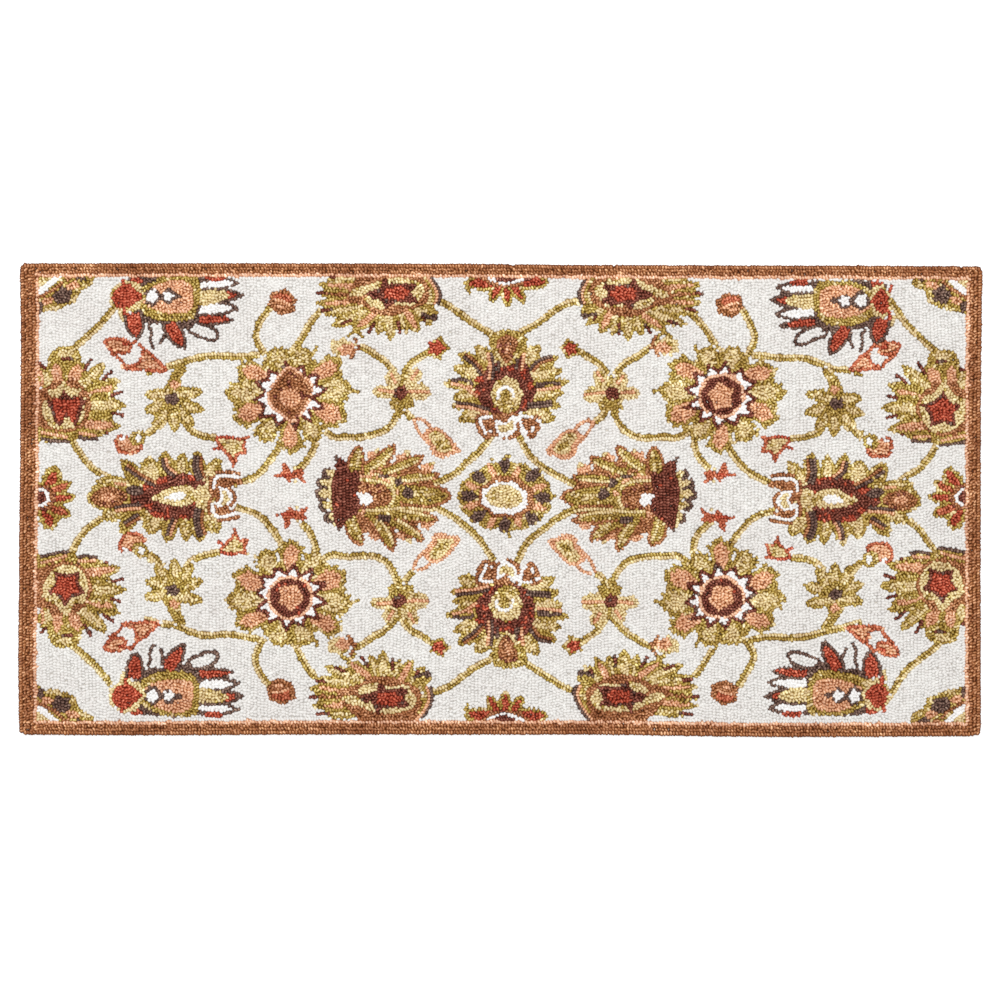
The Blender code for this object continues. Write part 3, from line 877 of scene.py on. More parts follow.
# The figures on the pattern's two middle lines: the figure, its place, and which way round it stands
ON_THE_LINES = (
    (crown_palmette, (0.3, 135.3), (1, 1)), (crown_palmette, (0, -142), (1, -1)),
    (fan_palmette, (-152.7, -0.7), (1, 1)), (fan_palmette, (154.9, -1.9), (-1, 1)),
    (long_palmette, (-431.7, -0.6), (1, 1)), (long_palmette, (431.7, -4.4), (-1, 1)),
    (round_rosette, (0, -0.6), (1, 1)),
    (half_rosette, (2.3, 265.3), (1, 1)), (half_rosette, (0, -271), (1, -1)),
    (side_rosette, (-575, -4), (1, 1)), (side_rosette, (568, -4), (-1, 1)),
)
# The vines of the left top quarter, mm from the pattern's middle, which the other quarters mirror
VINES = (
    ((-486, 258), (-508, 226), (-528, 206), (-556, 182)),
    ((-554, 78), (-537, 50), (-523, 35), (-496, 20)),
    ((-456, 158), (-431, 164), (-418, 166), (-396, 174), (-376, 178), (-345, 178), (-311, 181)),
    ((-428, 108), (-432, 98), (-442, 88), (-456, 82)),
    ((-410, 108), (-406, 94), (-397, 83), (-382, 76), (-362, 73), (-345, 70)),
    ((-298, 240), (-309, 224), (-316, 208), (-314, 196), (-304, 180)),
    ((-272, 180), (-262, 197), (-250, 216), (-232, 236)),
    ((-98, 250), (-80, 246), (-62, 236), (-40, 220), (-6, 200)),
    ((-196, 192), (-182, 190), (-166, 180), (-150, 170), (-132, 150)),
    ((-90, 188), (-102, 180), (-112, 174), (-122, 166), (-131, 150)),
    ((-134, 118), (-140, 100), (-151, 86), (-164, 79), (-180, 76), (-202, 77), (-218, 76), (-234, 84)),
    ((-128, 118), (-125, 107), (-121, 101), (-115, 97)),
    ((-280, 70), (-296, 48), (-308, 34), (-320, 24), (-344, 15)),
    ((-238, 84), (-242, 62), (-249, 48), (-262, 35)),
    ((-14, 84), (-26, 64), (-36, 52), (-52, 39), (-66, 28), (-94, 14)),
)


VINE_SEED, FOURFOLD_SEED = 40, 100
VINE_SWAY, FIGURE_SWAY = 0.7, 0.6  # how far a hand's waverings move a vine and a figure, mm


def drift(quarter):
    """Where plain mirroring would put each figure of a quarter, and how far it stands from there."""
    plain = np.array([row[1] for row in FOURFOLD]) * (-QUARTERS[quarter][0], QUARTERS[quarter][1])
    return plain, np.array([row[1 + quarter] for row in FOURFOLD]) - plain


def draw_vine(chart, points, quarter):
    """A vine, mirrored into a quarter and drawn along with the figures near it."""
    points = np.array(points) * (-QUARTERS[quarter][0], QUARTERS[quarter][1])
    plain, shift = drift(quarter)
    gap = np.hypot(*(points[:, None] - plain).transpose(2, 0, 1))
    pull = 1 / (gap + 12) ** 2
    points = points + (pull[:, :, None] * shift).sum(1) / pull.sum(1)[:, None]
    pen = Pen(chart, MIDDLE, VINE_SEED + quarter, VINE_SWAY)
    line = smooth(*points)
    pen.strands(line, *(("straw", "olive") if QUARTERS[quarter][0] < 0 else ("olive", "straw")))


def draw_rug():
    chart = Chart(RUG_HIGH[0], RUG_HIGH[1], "brown")
    chart.fill(frame_outline(1), "guard")
    chart.fill(frame_outline(2), "ivory")
    chart.stay_inside()
    for quarter in range(4):
        for points in VINES:
            draw_vine(chart, points, quarter)
    for number, (figure, place, flip) in enumerate(ON_THE_LINES):
        figure(Pen(chart, MIDDLE + place, number, FIGURE_SWAY, flip))
    for number, (figure, *places) in enumerate(FOURFOLD):
        for quarter, place in enumerate(places):
            flip = -QUARTERS[quarter][0], QUARTERS[quarter][1]
            seed = FOURFOLD_SEED + 4 * number + quarter
            size = SIZES.get(figure, (1, 1, 1, 1))[quarter]
            variant = VARIANTS.get(figure, ({}, {}, {}, {}))[quarter]
            figure(Pen(chart, MIDDLE + place, seed, FIGURE_SWAY, flip, size), **variant)
    return chart


# Hooking

# The yarns that a patch mixes, and each one's share of it. Any other patch is of the yarn that it names
BLENDS = {
    "peach": (("peach", 0.96), ("guard", 0.04)),
    "olive": (("olive", 0.90), ("straw", 0.10)),
    "straw": (("straw", 0.92), ("olive", 0.08)),
    "plum": (("plum", 0.92), ("umber", 0.08)),
    "ember": (("brick", 0.65), ("plum", 0.35)),
    "russet": (("brown", 0.86), ("plum", 0.14)),
    "cocoa": (("plum", 0.97), ("brick", 0.03)),
    "olive_light": (("olive", 0.65), ("straw", 0.35)),
}
# Each kind of loop: the least spacing, mm, and how freely it gives way to its neighbours
KINDS = {
    "row": (3.0, 0.0), "border": (3.0, 0.05), "edge": (3.45, 0.3), "narrow": (3.3, 0.3),
    "field": (3.1, 0.06), "gap": (3.15, 1.0),
}
HOOK_SEED = 11
EDGE_DEPTH = (1.6, 2.6)  # how far the first loops of a patch stand from its edge, mm
NARROW_DEPTH = 0.8  # the same in a patch too narrow for that, mm
FIELD_DEPTH = 3.2  # where the plain columns of a wide patch may begin, mm
FAR_CELLS = 9  # how far from an edge depths are told apart, cells
RUG_INSET = 2.0  # how far loops stay inside the rug's outline, mm
RIM_INSET = 1.5  # the same for the border's own rows, mm
CORNER_ROUND = 5.0  # radius of the rug's corners, mm
CORNER_ARC = 2.9  # radius of the arc on which their outermost loops stand, mm
SLANT = 0.45  # radians by which loops lean from straight across their row
TWIST = 0.35  # by how much single loops are turned from that, radians
# The border's rows from the side inwards
ROW_WAVER = (0.0, 0.2, 0.3, 0.5, 0.5)  # how much a row's line wavers, mm
ROW_STRAY = (0.15, 0.55, 0.55, 0.55, 0.55)  # how far a loop strays from it, mm
ROW_LEAN = (1.0, 1.6, 0.7, 1.3, 0.9)  # shares of the slant
GAP_TRIES = 600000  # cells that are tried for one more loop
SETTLE_ROUNDS = 8
SETTLE_SPACING = 4.4  # loops nearer than this push each other away, mm
SETTLE_PUSH = 0.22  # share of what is missing that a loop moves in a round
SETTLE_STEP = 0.8  # the most that it moves in a round, mm


def edge_depths(patch):
    """Each cell's distance from its patch's edge, in millimetres, up to a few."""
    same = np.ones(patch.shape, bool)
    for axis in (0, 1):
        step = np.diff(patch, axis=axis) != 0
        first, second = [slice(None)] * 2, [slice(None)] * 2
        first[axis], second[axis] = slice(None, -1), slice(1, None)
        same[tuple(first)] &= ~step
        same[tuple(second)] &= ~step
    squares = np.where(same, float(FAR_CELLS**2), 0.0)
    for axis in (0, 1):
        best = squares.copy()
        for shift in range(1, FAR_CELLS):
            for way in (-shift, shift):
                np.minimum(best, np.roll(squares, way, axis=axis) + shift * shift, out=best)
        squares = best
    return (np.sqrt(squares) + 0.5) * CELL


class Hooks:
    """The loops hooked so far."""

    def __init__(self, chart):
        self.chart = chart
        self.places, self.angles, self.blends, self.ease = [], [], [], []

    def add(self, places, angles, kind, blends=None):
        """Hooks each place in turn, unless it is too near to a loop that is there."""
        reach, ease = KINDS[kind]
        half = int(reach / CELL)
        y, x = np.mgrid[-half:half + 1, -half:half + 1]
        near = np.hypot(x, y) * CELL < reach
        taken = np.zeros(self.chart.patch.shape, bool)
        last_row, last_column = taken.shape[0] - 1, taken.shape[1] - 1
        if self.places:
            rows, columns = self.chart.cells(np.array(self.places))
            for down, across in np.argwhere(near) - half:
                taken[(rows + down).clip(0, last_row), (columns + across).clip(0, last_column)] = True
        rows, columns = self.chart.cells(places)
        for k, (row, column) in enumerate(zip(rows.tolist(), columns.tolist())):
            if taken[row, column]:
                continue
            taken[row - half:row + half + 1, column - half:column + half + 1] |= near
            self.places.append(places[k])
            self.angles.append(angles[k])
            self.blends.append(-1 if blends is None else blends[k])
            self.ease.append(ease)

    def settle(self):
        """Lets the loops give way to their neighbours."""
        self.places = list(relaxed(np.array(self.places), np.array(self.ease)))


def relaxed(places, ease):
    """Pushes close neighbours apart. A loop moves by its ease, so one of ease 0 stays."""
    size, most = 5.0, 5  # side of a square that is searched, mm, and the loops that it may hold
    low = places.min(0) - 2 * size
    count = len(places)
    index = np.arange(count)
    for _ in range(SETTLE_ROUNDS):
        cell = np.floor((places - low) / size).astype(int)
        wide, high = cell.max(0) + 3
        key = cell[:, 1] * wide + cell[:, 0]
        order = np.argsort(key, kind="stable")
        rank = np.arange(count) - np.searchsorted(key[order], key[order])
        kept = rank < most
        table = np.full((high, wide, most), -1)
        table[cell[order, 1][kept], cell[order, 0][kept], rank[kept]] = order[kept]
        push = np.zeros_like(places)
        for down, across, slot in np.ndindex(3, 3, most):
            other = table[cell[:, 1] + down - 1, cell[:, 0] + across - 1, slot]
            gap = places - places[other]
            distance = np.hypot(*gap.T)
            near = (other >= 0) & (other != index) & (distance < SETTLE_SPACING)
            share = np.where(near, (SETTLE_SPACING - distance) / np.maximum(distance, 0.1), 0)
            push += SETTLE_PUSH * share[:, None] * gap
        places = places + np.clip(push, -SETTLE_STEP, SETTLE_STEP) * ease[:, None]
    return places


def edge_gaps(places):
    """How far inside the two nearest sides each place is, and which way their corner lies."""
    x, y = places.T
    left, right = x - SIDES["left"](y), SIDES["right"](y) - x
    bottom, top = y - SIDES["bottom"](x), SIDES["top"](x) - y
    gaps = np.stack((np.minimum(left, right), np.minimum(bottom, top)), 1)
    return gaps, np.stack((np.where(left < right, -1, 1), np.where(bottom < top, -1, 1)), 1)


def rounded(places, arc):
    """Draws what stands at the rug's corners in to an arc."""
    gaps, outwards = edge_gaps(places)
    reach = np.maximum(CORNER_ROUND - gaps, 0)
    far = np.hypot(*reach.T)
    pull = np.where((reach.min(1) > 0) & (far > arc), 1 - arc / np.maximum(far, arc), 0)
    return places - pull[:, None] * reach * outwards


def cells_inside(distance):
    """Which cells lie a distance or more inside the rug's outline."""
    plan = Chart(RUG_HIGH[0], RUG_HIGH[1], "out")
    plan.fill(inset(frame_outline(0), distance), "in")
    return plan.patch > 0


def hook_strands(hooks, on_rug):
    """The single strands, the last drawn first, where no later patch covers them."""
    chart = hooks.chart
    for number, places, angles in reversed(chart.strands):
        rows, columns = chart.cells(places)
        shown = (chart.patch[rows, columns] < number) & on_rug[rows, columns]
        angles = angles[shown] + np.pi / 2 + SLANT
        hooks.add(places[shown], angles, "row", [number] * len(angles))


def hook_border(hooks, rng):
    """The outer band and the guard, in rows parallel to the sides, the outermost ones first."""
    chart = hooks.chart
    within = cells_inside(RIM_INSET)
    rows = [(side, k) for side in BORDER for k in range(BORDER[side] + 1)]
    for side, k in sorted(rows, key=lambda row: row[1] > 0):
        width = BAND[side] / BORDER[side]
        depth = (k + 0.5) * width if k < BORDER[side] else BAND[side] + GUARD / 2
        line = inside_line(side, depth, ROW_WAVER[k], rng)
        places, angles = spaced(line, STITCH * rng.uniform(0.92, 1.0))
        places = places + rng.normal(0, ROW_STRAY[k], places.shape)
        own = (chart.patch[chart.cells(places)] < 2) & within[chart.cells(places)]
        lean = SLANT * ROW_LEAN[k] + rng.normal(0, 0.25, len(angles))
        hooks.add(places[own], (angles + np.pi / 2 + lean)[own], "border")


def hook_edges(hooks, depth, on_rug):
    """Loops along the edge of every patch, and then along the middle of the narrow ones."""
    slope_y, slope_x = np.gradient(depth)
    across = np.arctan2(slope_y, slope_x) + SLANT
    rows, columns = np.nonzero((depth >= EDGE_DEPTH[0]) & (depth <= EDGE_DEPTH[1]) & on_rug)
    hooks.add(hooks.chart.middles(rows, columns), across[rows, columns], "edge")
    rows, columns = np.nonzero((depth >= NARROW_DEPTH) & (depth < EDGE_DEPTH[0]) & on_rug)
    order = np.argsort(-depth[rows, columns], kind="stable")
    rows, columns = rows[order], columns[order]
    hooks.add(hooks.chart.middles(rows, columns), across[rows, columns], "narrow")


def hook_field(hooks, depth, on_rug, rng):
    """Wavering columns of loops over the plain ground."""
    x = np.arange(RUG_LOW[0], RUG_HIGH[0], ROW)
    y = np.arange(RUG_LOW[1], RUG_HIGH[1], FIELD_STITCH)
    x, y = (grid.T.ravel() for grid in np.meshgrid(x, y))
    column = np.round((x - RUG_LOW[0]) / ROW).astype(int)
    y = y + rng.uniform(0, FIELD_STITCH, column.max() + 1)[column] + rng.uniform(-0.5, 0.5, len(y))
    x = x + 1.1 * np.sin(y / 46 + 1.7 * np.sin(x / 150)) + 0.4 * np.sin(y / 17 + x / 60)
    x = x + rng.uniform(-0.2, 0.2, len(x))
    places = np.stack((x, y), 1)
    rows, columns = hooks.chart.cells(places)
    free = (depth[rows, columns] > FIELD_DEPTH) & on_rug[rows, columns]
    angles = rng.uniform(-0.3, 0.5, column.max() + 1)[column] + rng.normal(0, 0.2, len(x))
    hooks.add(places[free], angles[free], "field")


def hook_gaps(hooks, on_rug, rng):
    """Loops where the rug is still bare, before and after the others have settled."""
    rows, columns = np.nonzero(on_rug)
    order = rng.permutation(len(rows))[:GAP_TRIES]
    middles = hooks.chart.middles(rows[order], columns[order])
    for _ in range(2):
        hooks.add(middles, rng.uniform(-1, 1, len(middles)), "gap")
        hooks.settle()


def hook(chart):
    """Every loop of the rug: its place, direction and yarn."""
    rng = np.random.default_rng(HOOK_SEED)
    hooks = Hooks(chart)
    on_rug = cells_inside(RUG_INSET)
    depth = edge_depths(chart.patch)
    hook_strands(hooks, on_rug)
    hook_border(hooks, rng)
    hook_edges(hooks, depth, on_rug)
    hook_field(hooks, depth, on_rug, rng)
    hook_gaps(hooks, on_rug, rng)
    places = rounded(np.array(hooks.places), CORNER_ARC)
    angles = np.array(hooks.angles) + rng.normal(0, TWIST, len(places))
    blend = np.where(np.array(hooks.blends) < 0, chart.patch[chart.cells(places)], hooks.blends)
    yarn_of = np.empty(len(places), dtype="<U12")
    for number in np.unique(blend):
        mine = np.flatnonzero(blend == number)
        name = chart.blends[number]
        yarns, shares = zip(*BLENDS.get(name, ((name, 1.0),)))
        yarn_of[mine] = rng.choice(yarns, len(mine), p=shares)
    return places, angles, yarn_of


chart = draw_rug()
PLACES, ANGLES, YARN_OF = hook(chart)


# Pile

FOOT_Z, SHOULDER_Z, CROWN_Z = 5.4, 8.6, 10.0  # heights of a loop's rings and its crown, mm
RING = 6  # corners of a loop seen from above
CORNERS = 2 * RING + 2
FOOT, SHOULDER = (4.2, 3.5), (2.35, 1.4)  # half sizes of the rings, along the loop and across it, mm
CROWN = 1.2  # half the length of the crown's ridge, mm
CROWN_FALL = 0.9  # how much lower the ridge's far end lies, mm
# How unevenly loops are pulled: shares of their size, length and width, and their height and ridge, mm
UNEVEN = {"size": 0.07, "length": 0.12, "width": 0.08, "height": 0.25, "ridge": 0.45}
CALM_EDGE, CALM_SHARE = 4.0, 0.3  # this near to a side, mm, loops are only this share as uneven
LOOPS_A_PIECE = 9800  # 20 triangles each, so a piece stays under 200,000
PILE_SEED = 23
MAP_MARGIN = 3.0  # how far the map of the pile reaches past the rug, mm


def linked(name, mesh):
    """The mesh as an object of the scene."""
    piece = bpy.data.objects.new(name, mesh)
    bpy.context.scene.collection.objects.link(piece)
    return piece


def loop_faces(count):
    """The triangles of every loop: a skirt between two rings, and a cap that rises to a ridge."""
    k = np.arange(RING)
    after = (k + 1) % RING
    skirt = np.vstack((np.stack((k, after, after + RING), 1), np.stack((k, after + RING, k + RING), 1)))
    near, far = RING, RING + 1
    cap = np.array((
        (5, 0, near), (0, 1, near), (1, 2, far), (1, far, near), (2, 3, far), (3, 4, far), (4, 5, near),
        (4, near, far),
    )) + RING
    return np.vstack((skirt, cap))[None] + CORNERS * np.arange(count)[:, None, None]


def loop_places(places, angles, rng):
    """The corners of every loop, in metres."""
    count = len(places)
    angle = 2 * np.pi * np.arange(RING) / RING
    calm = np.where(edge_gaps(places)[0].min(1) < CALM_EDGE, CALM_SHARE, 1.0)[:, None]
    size = 1 + calm * rng.normal(0, UNEVEN["size"], (count, 1))
    length = size * (1 + calm * rng.normal(0, UNEVEN["length"], (count, 1)))
    width = size * (1 + calm * rng.normal(0, UNEVEN["width"], (count, 1)))
    rise = rng.normal(0, UNEVEN["height"], (count, 1))
    ridge = rng.normal(0, UNEVEN["ridge"], (count, 2))
    rings = np.hstack((FOOT[0] * np.cos(angle), SHOULDER[0] * np.cos(angle), (CROWN, -CROWN)))
    along = length * rings
    across = width * np.hstack((FOOT[1] * np.sin(angle), SHOULDER[1] * np.sin(angle)))
    across = np.hstack((across, ridge))
    z = np.hstack((np.full((count, RING), FOOT_Z), SHOULDER_Z + rise + np.zeros((count, RING)),
                   CROWN_Z + rise, CROWN_Z - CROWN_FALL + rise))
    c, s = np.cos(angles)[:, None], np.sin(angles)[:, None]
    x, y = places[:, :1] + along * c - across * s, places[:, 1:] + along * s + across * c
    return MM * np.stack((x, y, z), 2)


def pile_piece(name, places, angles, tint, rng):
    """One mesh of loops, with the tint of each and a map that lays them out as the rug lies."""
    corners = loop_places(places, angles, rng).reshape(-1, 3)
    faces = loop_faces(len(places)).reshape(-1, 3)
    mesh = bpy.data.meshes.new(name)
    mesh.vertices.add(len(corners))
    mesh.vertices.foreach_set("co", corners.ravel())
    mesh.loops.add(faces.size)
    mesh.loops.foreach_set("vertex_index", faces.ravel().astype(np.int32))
    mesh.polygons.add(len(faces))
    mesh.polygons.foreach_set("loop_start", np.arange(0, faces.size, 3, dtype=np.int32))
    mesh.update(calc_edges=True)
    mesh.shade_smooth()
    mesh.attributes.new("tint", "FLOAT", "POINT").data.foreach_set("value", np.repeat(tint, CORNERS))
    low, high = RUG_LOW[:2] - MAP_MARGIN, RUG_HIGH[:2] + MAP_MARGIN
    flat = (corners[faces.ravel()][:, :2] / MM - low) / (high - low)
    mesh.uv_layers.new(name="OFBake").data.foreach_set("uv", flat.clip(0, 1).ravel())
    return linked(name, mesh)


# Yarns

PAINTED_SHADE_Z = 7.2  # height up to which the yarn takes its darker gap colour, painted shade for the gaps of the pile, mm
PAINTED_HIGHLIGHT_Z = 8.9  # height from which a painted highlight pales it towards the crown, mm
FIBRE_SCALE, MOTTLE_SCALE = 1400.0, 420.0  # of the noise, to the metre


def paint(red, green, blue):
    """A colour of the screen as the light that it stands for."""
    share = np.array((red, green, blue)) / 255
    return (*np.where(share <= 0.04045, share / 12.92, ((share + 0.055) / 1.055) ** 2.4), 1)


class Field:
    """A value of a node tree, so that shading sums read as sums."""

    def __init__(self, tree, socket):
        self.tree, self.socket = tree, socket

    def math(self, operation, other, swap=False):
        node = self.tree.nodes.new("ShaderNodeMath")
        node.operation = operation
        for k, value in enumerate((other, self) if swap else (self, other)):
            if isinstance(value, Field):
                self.tree.links.new(value.socket, node.inputs[k])
            else:
                node.inputs[k].default_value = value
        return Field(self.tree, node.outputs[0])

    def __add__(self, other):
        return self.math("ADD", other)

    def __sub__(self, other):
        return self.math("SUBTRACT", other)

    def __mul__(self, other):
        return self.math("MULTIPLY", other)

    def __radd__(self, other):
        return self.math("ADD", other, swap=True)

    def __rsub__(self, other):
        return self.math("SUBTRACT", other, swap=True)

    def __rmul__(self, other):
        return self.math("MULTIPLY", other, swap=True)


class Shading:
    """Builds one material's nodes."""

    def __init__(self, name):
        self.material = bpy.data.materials.new(name)
        self.material.use_nodes = True
        self.tree = self.material.node_tree
        self.surface = self.tree.nodes["Principled BSDF"]

    def node(self, kind, settings=(), inputs=(), output=0):
        """A node of a type with its settings and inputs; returns one of its outputs."""
        node = self.tree.nodes.new(kind)
        for name, value in dict(settings).items():
            setattr(node, name, value)
        for name, value in dict(inputs).items():
            self.join(node.inputs[name], value)
        return Field(self.tree, node.outputs[output])

    def join(self, socket, value):
        if isinstance(value, Field):
            self.tree.links.new(value.socket, socket)
        else:
            socket.default_value = value

    def feed(self, name, value):
        self.join(self.surface.inputs[name], value)

    def noise(self, place, scale, detail):
        inputs = {"Vector": place, "Scale": scale, "Detail": detail}
        return self.node("ShaderNodeTexNoise", inputs=inputs)

    def mix(self, share, first, second, way="MIX"):
        settings = {"data_type": "RGBA", "blend_type": way}
        return self.node("ShaderNodeMix", settings, {0: share, 6: first, 7: second}, 2)

    def share(self, value, low, high):
        """How far the value is on its way from low to high, 0 to 1."""
        inputs = {"Value": value, "From Min": low, "From Max": high, "To Min": 0.0, "To Max": 1.0}
        return self.node("ShaderNodeMapRange", {"clamp": True}, inputs)


def wool(name, gap, body, crown, heather):
    """Heathered wool yarn, with painted shade deep in the gaps of the pile and a painted highlight on the
    crowns of its loops.
    """
    shading = Shading(name)
    place = shading.node("ShaderNodeTexCoord", output="Object")
    height = shading.node("ShaderNodeSeparateXYZ", inputs={0: place}, output=2)
    tint = shading.node("ShaderNodeAttribute", {"attribute_name": "tint"}, output="Fac")
    fibre = shading.noise(place, FIBRE_SCALE, 2.0)
    mottle = shading.noise(place, MOTTLE_SCALE, 1.0)
    # Painted shade: low on each loop the colour is the dark gap colour, rising with height to the body
    # colour
    above_painted_shade = shading.share(height, PAINTED_SHADE_Z * MM, PAINTED_HIGHLIGHT_Z * MM)
    top = shading.share(height, PAINTED_HIGHLIGHT_Z * MM, (CROWN_Z + 0.1) * MM)
    tone = shading.mix(above_painted_shade, paint(*gap), paint(*body))
    # Painted highlight: high on each loop the colour pales to the crown colour, more so on loops of
    # higher tint
    tone = shading.mix(top * (0.5 + heather * 1.6 * (tint - 0.25)), tone, paint(*crown))
    light = 1.0 + heather * (tint - 0.5) + heather * (0.8 * (fibre - 0.5) + 1.2 * (mottle - 0.5))
    drift = 1.0 + 0.35 * heather * (tint - 0.5)
    inputs = {0: light, 1: light * drift, 2: light * drift}
    shade = shading.node("ShaderNodeCombineColor", inputs=inputs)
    shading.feed("Base Color", shading.mix(1.0, tone, shade, "MULTIPLY"))
    shading.feed("Roughness", 0.92)
    shading.feed("Specular IOR Level", 0.1)
    bump = {"Strength": 0.25, "Distance": 0.0004, "Height": fibre}
    shading.feed("Normal", shading.node("ShaderNodeBump", inputs=bump))
    return shading.material


# Each yarn's painted shade colour for the gaps, its own colour on the loops' flanks, its painted
# highlight colour for their crowns, and how heathered it is
DYES_AND_PAINTED_LIGHT = {
    "ivory": ((214, 211, 207), (229, 226, 222), (244, 242, 239), 0.08),
    "white": ((226, 223, 220), (241, 239, 237), (252, 251, 250), 0.08),
    "brown": ((104, 56, 25), (163, 104, 66), (235, 182, 142), 0.7),
    "guard": ((188, 125, 88), (232, 182, 147), (252, 230, 210), 0.5),
    "peach": ((162, 98, 58), (224, 168, 129), (252, 222, 194), 0.5),
    "olive": ((106, 77, 18), (172, 142, 67), (240, 216, 151), 0.6),
    "straw": ((166, 134, 76), (224, 202, 150), (252, 240, 208), 0.45),
    "plum": ((66, 28, 18), (116, 60, 47), (186, 123, 104), 0.6),
    "umber": ((62, 42, 36), (106, 80, 70), (170, 142, 126), 0.6),
    "brick": ((112, 36, 20), (178, 76, 54), (234, 144, 116), 0.6),
    "rust": ((124, 54, 28), (190, 102, 72), (240, 166, 134), 0.6),
}
SKEIN_SHADE, LOOP_SHADE = 0.10, 0.16  # how much a skein's own shade and a loop's own count in its tint


def tints(places, rng):
    """The tint of each loop, 0 to 1: its skein's over a hand's breadth, and its own by chance."""
    x, y = places.T
    skein = np.sin(x / 23 + 2 * np.sin(y / 31)) + np.sin(y / 19 + 1.5 * np.sin(x / 41))
    return (0.5 + SKEIN_SHADE * skein + rng.normal(0, LOOP_SHADE, len(places))).clip(0, 1)


def hook_pile():
    """Every yarn's loops, split into pieces of no more than a set number of loops.
    Every yarn's loops, in pieces small enough to keep.
    """
    rng = np.random.default_rng(PILE_SEED)
    pieces = []
    for yarn, dye_and_painted_light in DYES_AND_PAINTED_LIGHT.items():
        mine = np.flatnonzero(YARN_OF == yarn)
        mine = mine[np.argsort(PLACES[mine, 0], kind="stable")]
        material = wool(f"{yarn} wool", *dye_and_painted_light)
        parts = math.ceil(len(mine) / LOOPS_A_PIECE)
        for number, part in enumerate(np.array_split(mine, parts)):
            name = f"{yarn}_loops" if parts == 1 else f"{yarn}_loops_{number + 1}"
            piece = pile_piece(name, PLACES[part], ANGLES[part], tints(PLACES[part], rng), rng)
            piece.data.materials.append(material)
            pieces.append(piece)
    return pieces


# Ground

GROUND_TOP = 5.6  # thickness of the ground and the loops' feet in it, mm
GROUND_INSET = 2.0  # how far the ground stays inside the rug's sides, mm
GROUND_STEP, SIDE_STEP = 3.0, 1.0  # from point to point round the ground and round the side, mm
# The yarn that covers the side, from the floor up: height, and how far it stands inside the side, mm
HEM = ((0.1, 1.6), (1.0, 0.5), (2.6, 0.0), (4.4, 0.1), (6.0, 0.8), (7.4, 2.4))
HEM_RIDGE = 0.35  # how far its turns stand out, mm
HEM_TURN = 4  # steps round the side to a turn


def cotton():
    """Plain unbleached cotton, a little slubbed."""
    shading = Shading("cotton ground")
    place = shading.node("ShaderNodeTexCoord", output="Object")
    slub, weave = shading.noise(place, 45.0, 1.0), shading.noise(place, 620.0, 0.0)
    tone = shading.mix(0.7 * slub + 0.3 * weave, paint(206, 198, 184), paint(230, 224, 212))
    shading.feed("Base Color", tone)
    shading.feed("Roughness", 0.95)
    return shading.material


def level(outline, height):
    """The outline's points at a height."""
    return np.column_stack((outline, np.full(len(outline), height)))


def banded(name, rings, closed=False):
    """A mesh of the bands between rings of points in mm, and of the two ends if it is closed."""
    count = len(rings[0])
    k = np.arange(count)
    after = (k + 1) % count
    band = np.stack((k, after, after + count, k + count), 1)
    starts = count * np.arange(len(rings))
    faces = np.vstack([band + start for start in starts[:-1]]).tolist()
    if closed:
        faces += [k[::-1].tolist(), (k + starts[-1]).tolist()]
    mesh = bpy.data.meshes.new(name)
    mesh.from_pydata((np.vstack(rings) * MM).tolist(), [], faces)
    return mesh


def cloth_ground():
    """The woven cotton ground: a thin closed sheet with the rug's outline."""
    outline = inset(close_set(frame_outline(0), GROUND_STEP), GROUND_INSET)
    outline = rounded(outline, CORNER_ROUND - GROUND_INSET)
    mesh = banded("cloth_ground", [level(outline, 0), level(outline, GROUND_TOP)], closed=True)
    mesh.materials.append(cotton())
    return linked("cloth_ground", mesh)


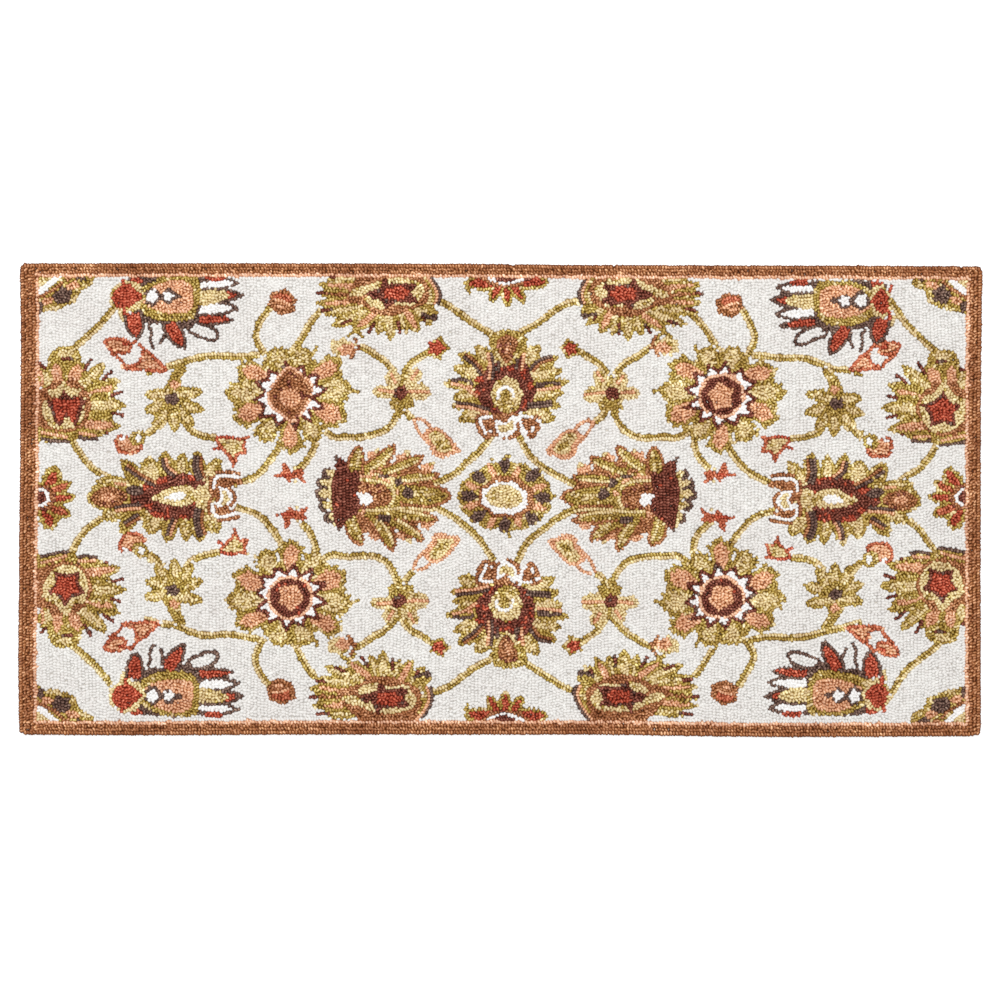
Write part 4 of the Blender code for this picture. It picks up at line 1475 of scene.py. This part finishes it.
def hem(material):
    """The rug's side, covered by turns of the border's yarn."""
    outline = frame_outline(0)
    line, along = spaced(np.vstack((outline, outline[:1])), SIDE_STEP)
    outwards = np.stack((np.sin(along), -np.cos(along)), 1)
    ridges = HEM_RIDGE * np.cos(2 * np.pi * np.arange(len(line)) / HEM_TURN)[:, None] * outwards
    rings = []
    for height, depth in HEM:
        rings.append(level(rounded(line - depth * outwards, CORNER_ROUND - depth) + ridges, height))
    mesh = banded("side_yarn", rings)
    mesh.shade_smooth()
    tint = mesh.attributes.new("tint", "FLOAT", "POINT")
    tint.data.foreach_set("value", np.full(len(mesh.vertices), 0.5))
    # The side stands almost wholly below the painted shade height, so the brown wool paints it in its
    # darker painted shade colour
    mesh.materials.append(material)
    return linked("side_yarn", mesh)


pile = hook_pile()
pile.append(hem(bpy.data.materials["brown wool"]))
ground = cloth_ground()
for piece in (*pile, ground):
    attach(piece, "root")
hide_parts("rug")

# Stage

FLOOR_HALF = 4.0  # m
WORLD_LIGHT = 0.885
SOFT_LIGHT = {"place": (-0.35, 1.5, 3.0), "size": 2.4, "watts": 52.0}


def stage_floor():
    mesh = bpy.data.meshes.new("floor")
    corners = [(x * FLOOR_HALF, y * FLOOR_HALF, 0) for x, y in ((-1, -1), (1, -1), (1, 1), (-1, 1))]
    mesh.from_pydata(corners, [], [(0, 1, 2, 3)])
    shading = Shading("pale floor")
    shading.feed("Base Color", (0.93, 0.93, 0.93, 1))
    shading.feed("Emission Color", (1, 1, 1, 1))
    shading.feed("Emission Strength", 0.4)
    shading.feed("Roughness", 0.9)
    mesh.materials.append(shading.material)
    linked("floor", mesh)


def soft_light(place, size, watts):
    lamp = bpy.data.lights.new("soft light", "AREA")
    lamp.size = size
    lamp.energy = watts
    light = linked("soft light", lamp)
    light.location = place
    light.rotation_euler = Vector(place).to_track_quat("Z", "Y").to_euler()


def pale_world():
    world = bpy.data.worlds.new("studio")
    world.use_nodes = True
    background = world.node_tree.nodes["Background"]
    background.inputs["Color"].default_value = (1, 1, 1, 1)
    background.inputs["Strength"].default_value = WORLD_LIGHT
    bpy.context.scene.world = world
    bpy.context.scene.view_settings.view_transform = "Standard"


stage_floor()
soft_light(**SOFT_LIGHT)
pale_world()

# Camera

HEIGHT = 4.0  # of the camera above the floor, m
ABOVE = (-0.0006, 0.00025)  # the place that it looks straight down on, m
VIEW_WIDTH = 1.2696  # seen across the picture at the rug's top, m
SENSOR = 36.0  # mm

lens = bpy.data.cameras.new("camera")
lens.sensor_width = SENSOR
lens.lens = SENSOR * (HEIGHT - CROWN_Z * MM) / VIEW_WIDTH
camera = linked("camera", lens)
camera.location = (*ABOVE, HEIGHT)
bpy.context.scene.camera = camera
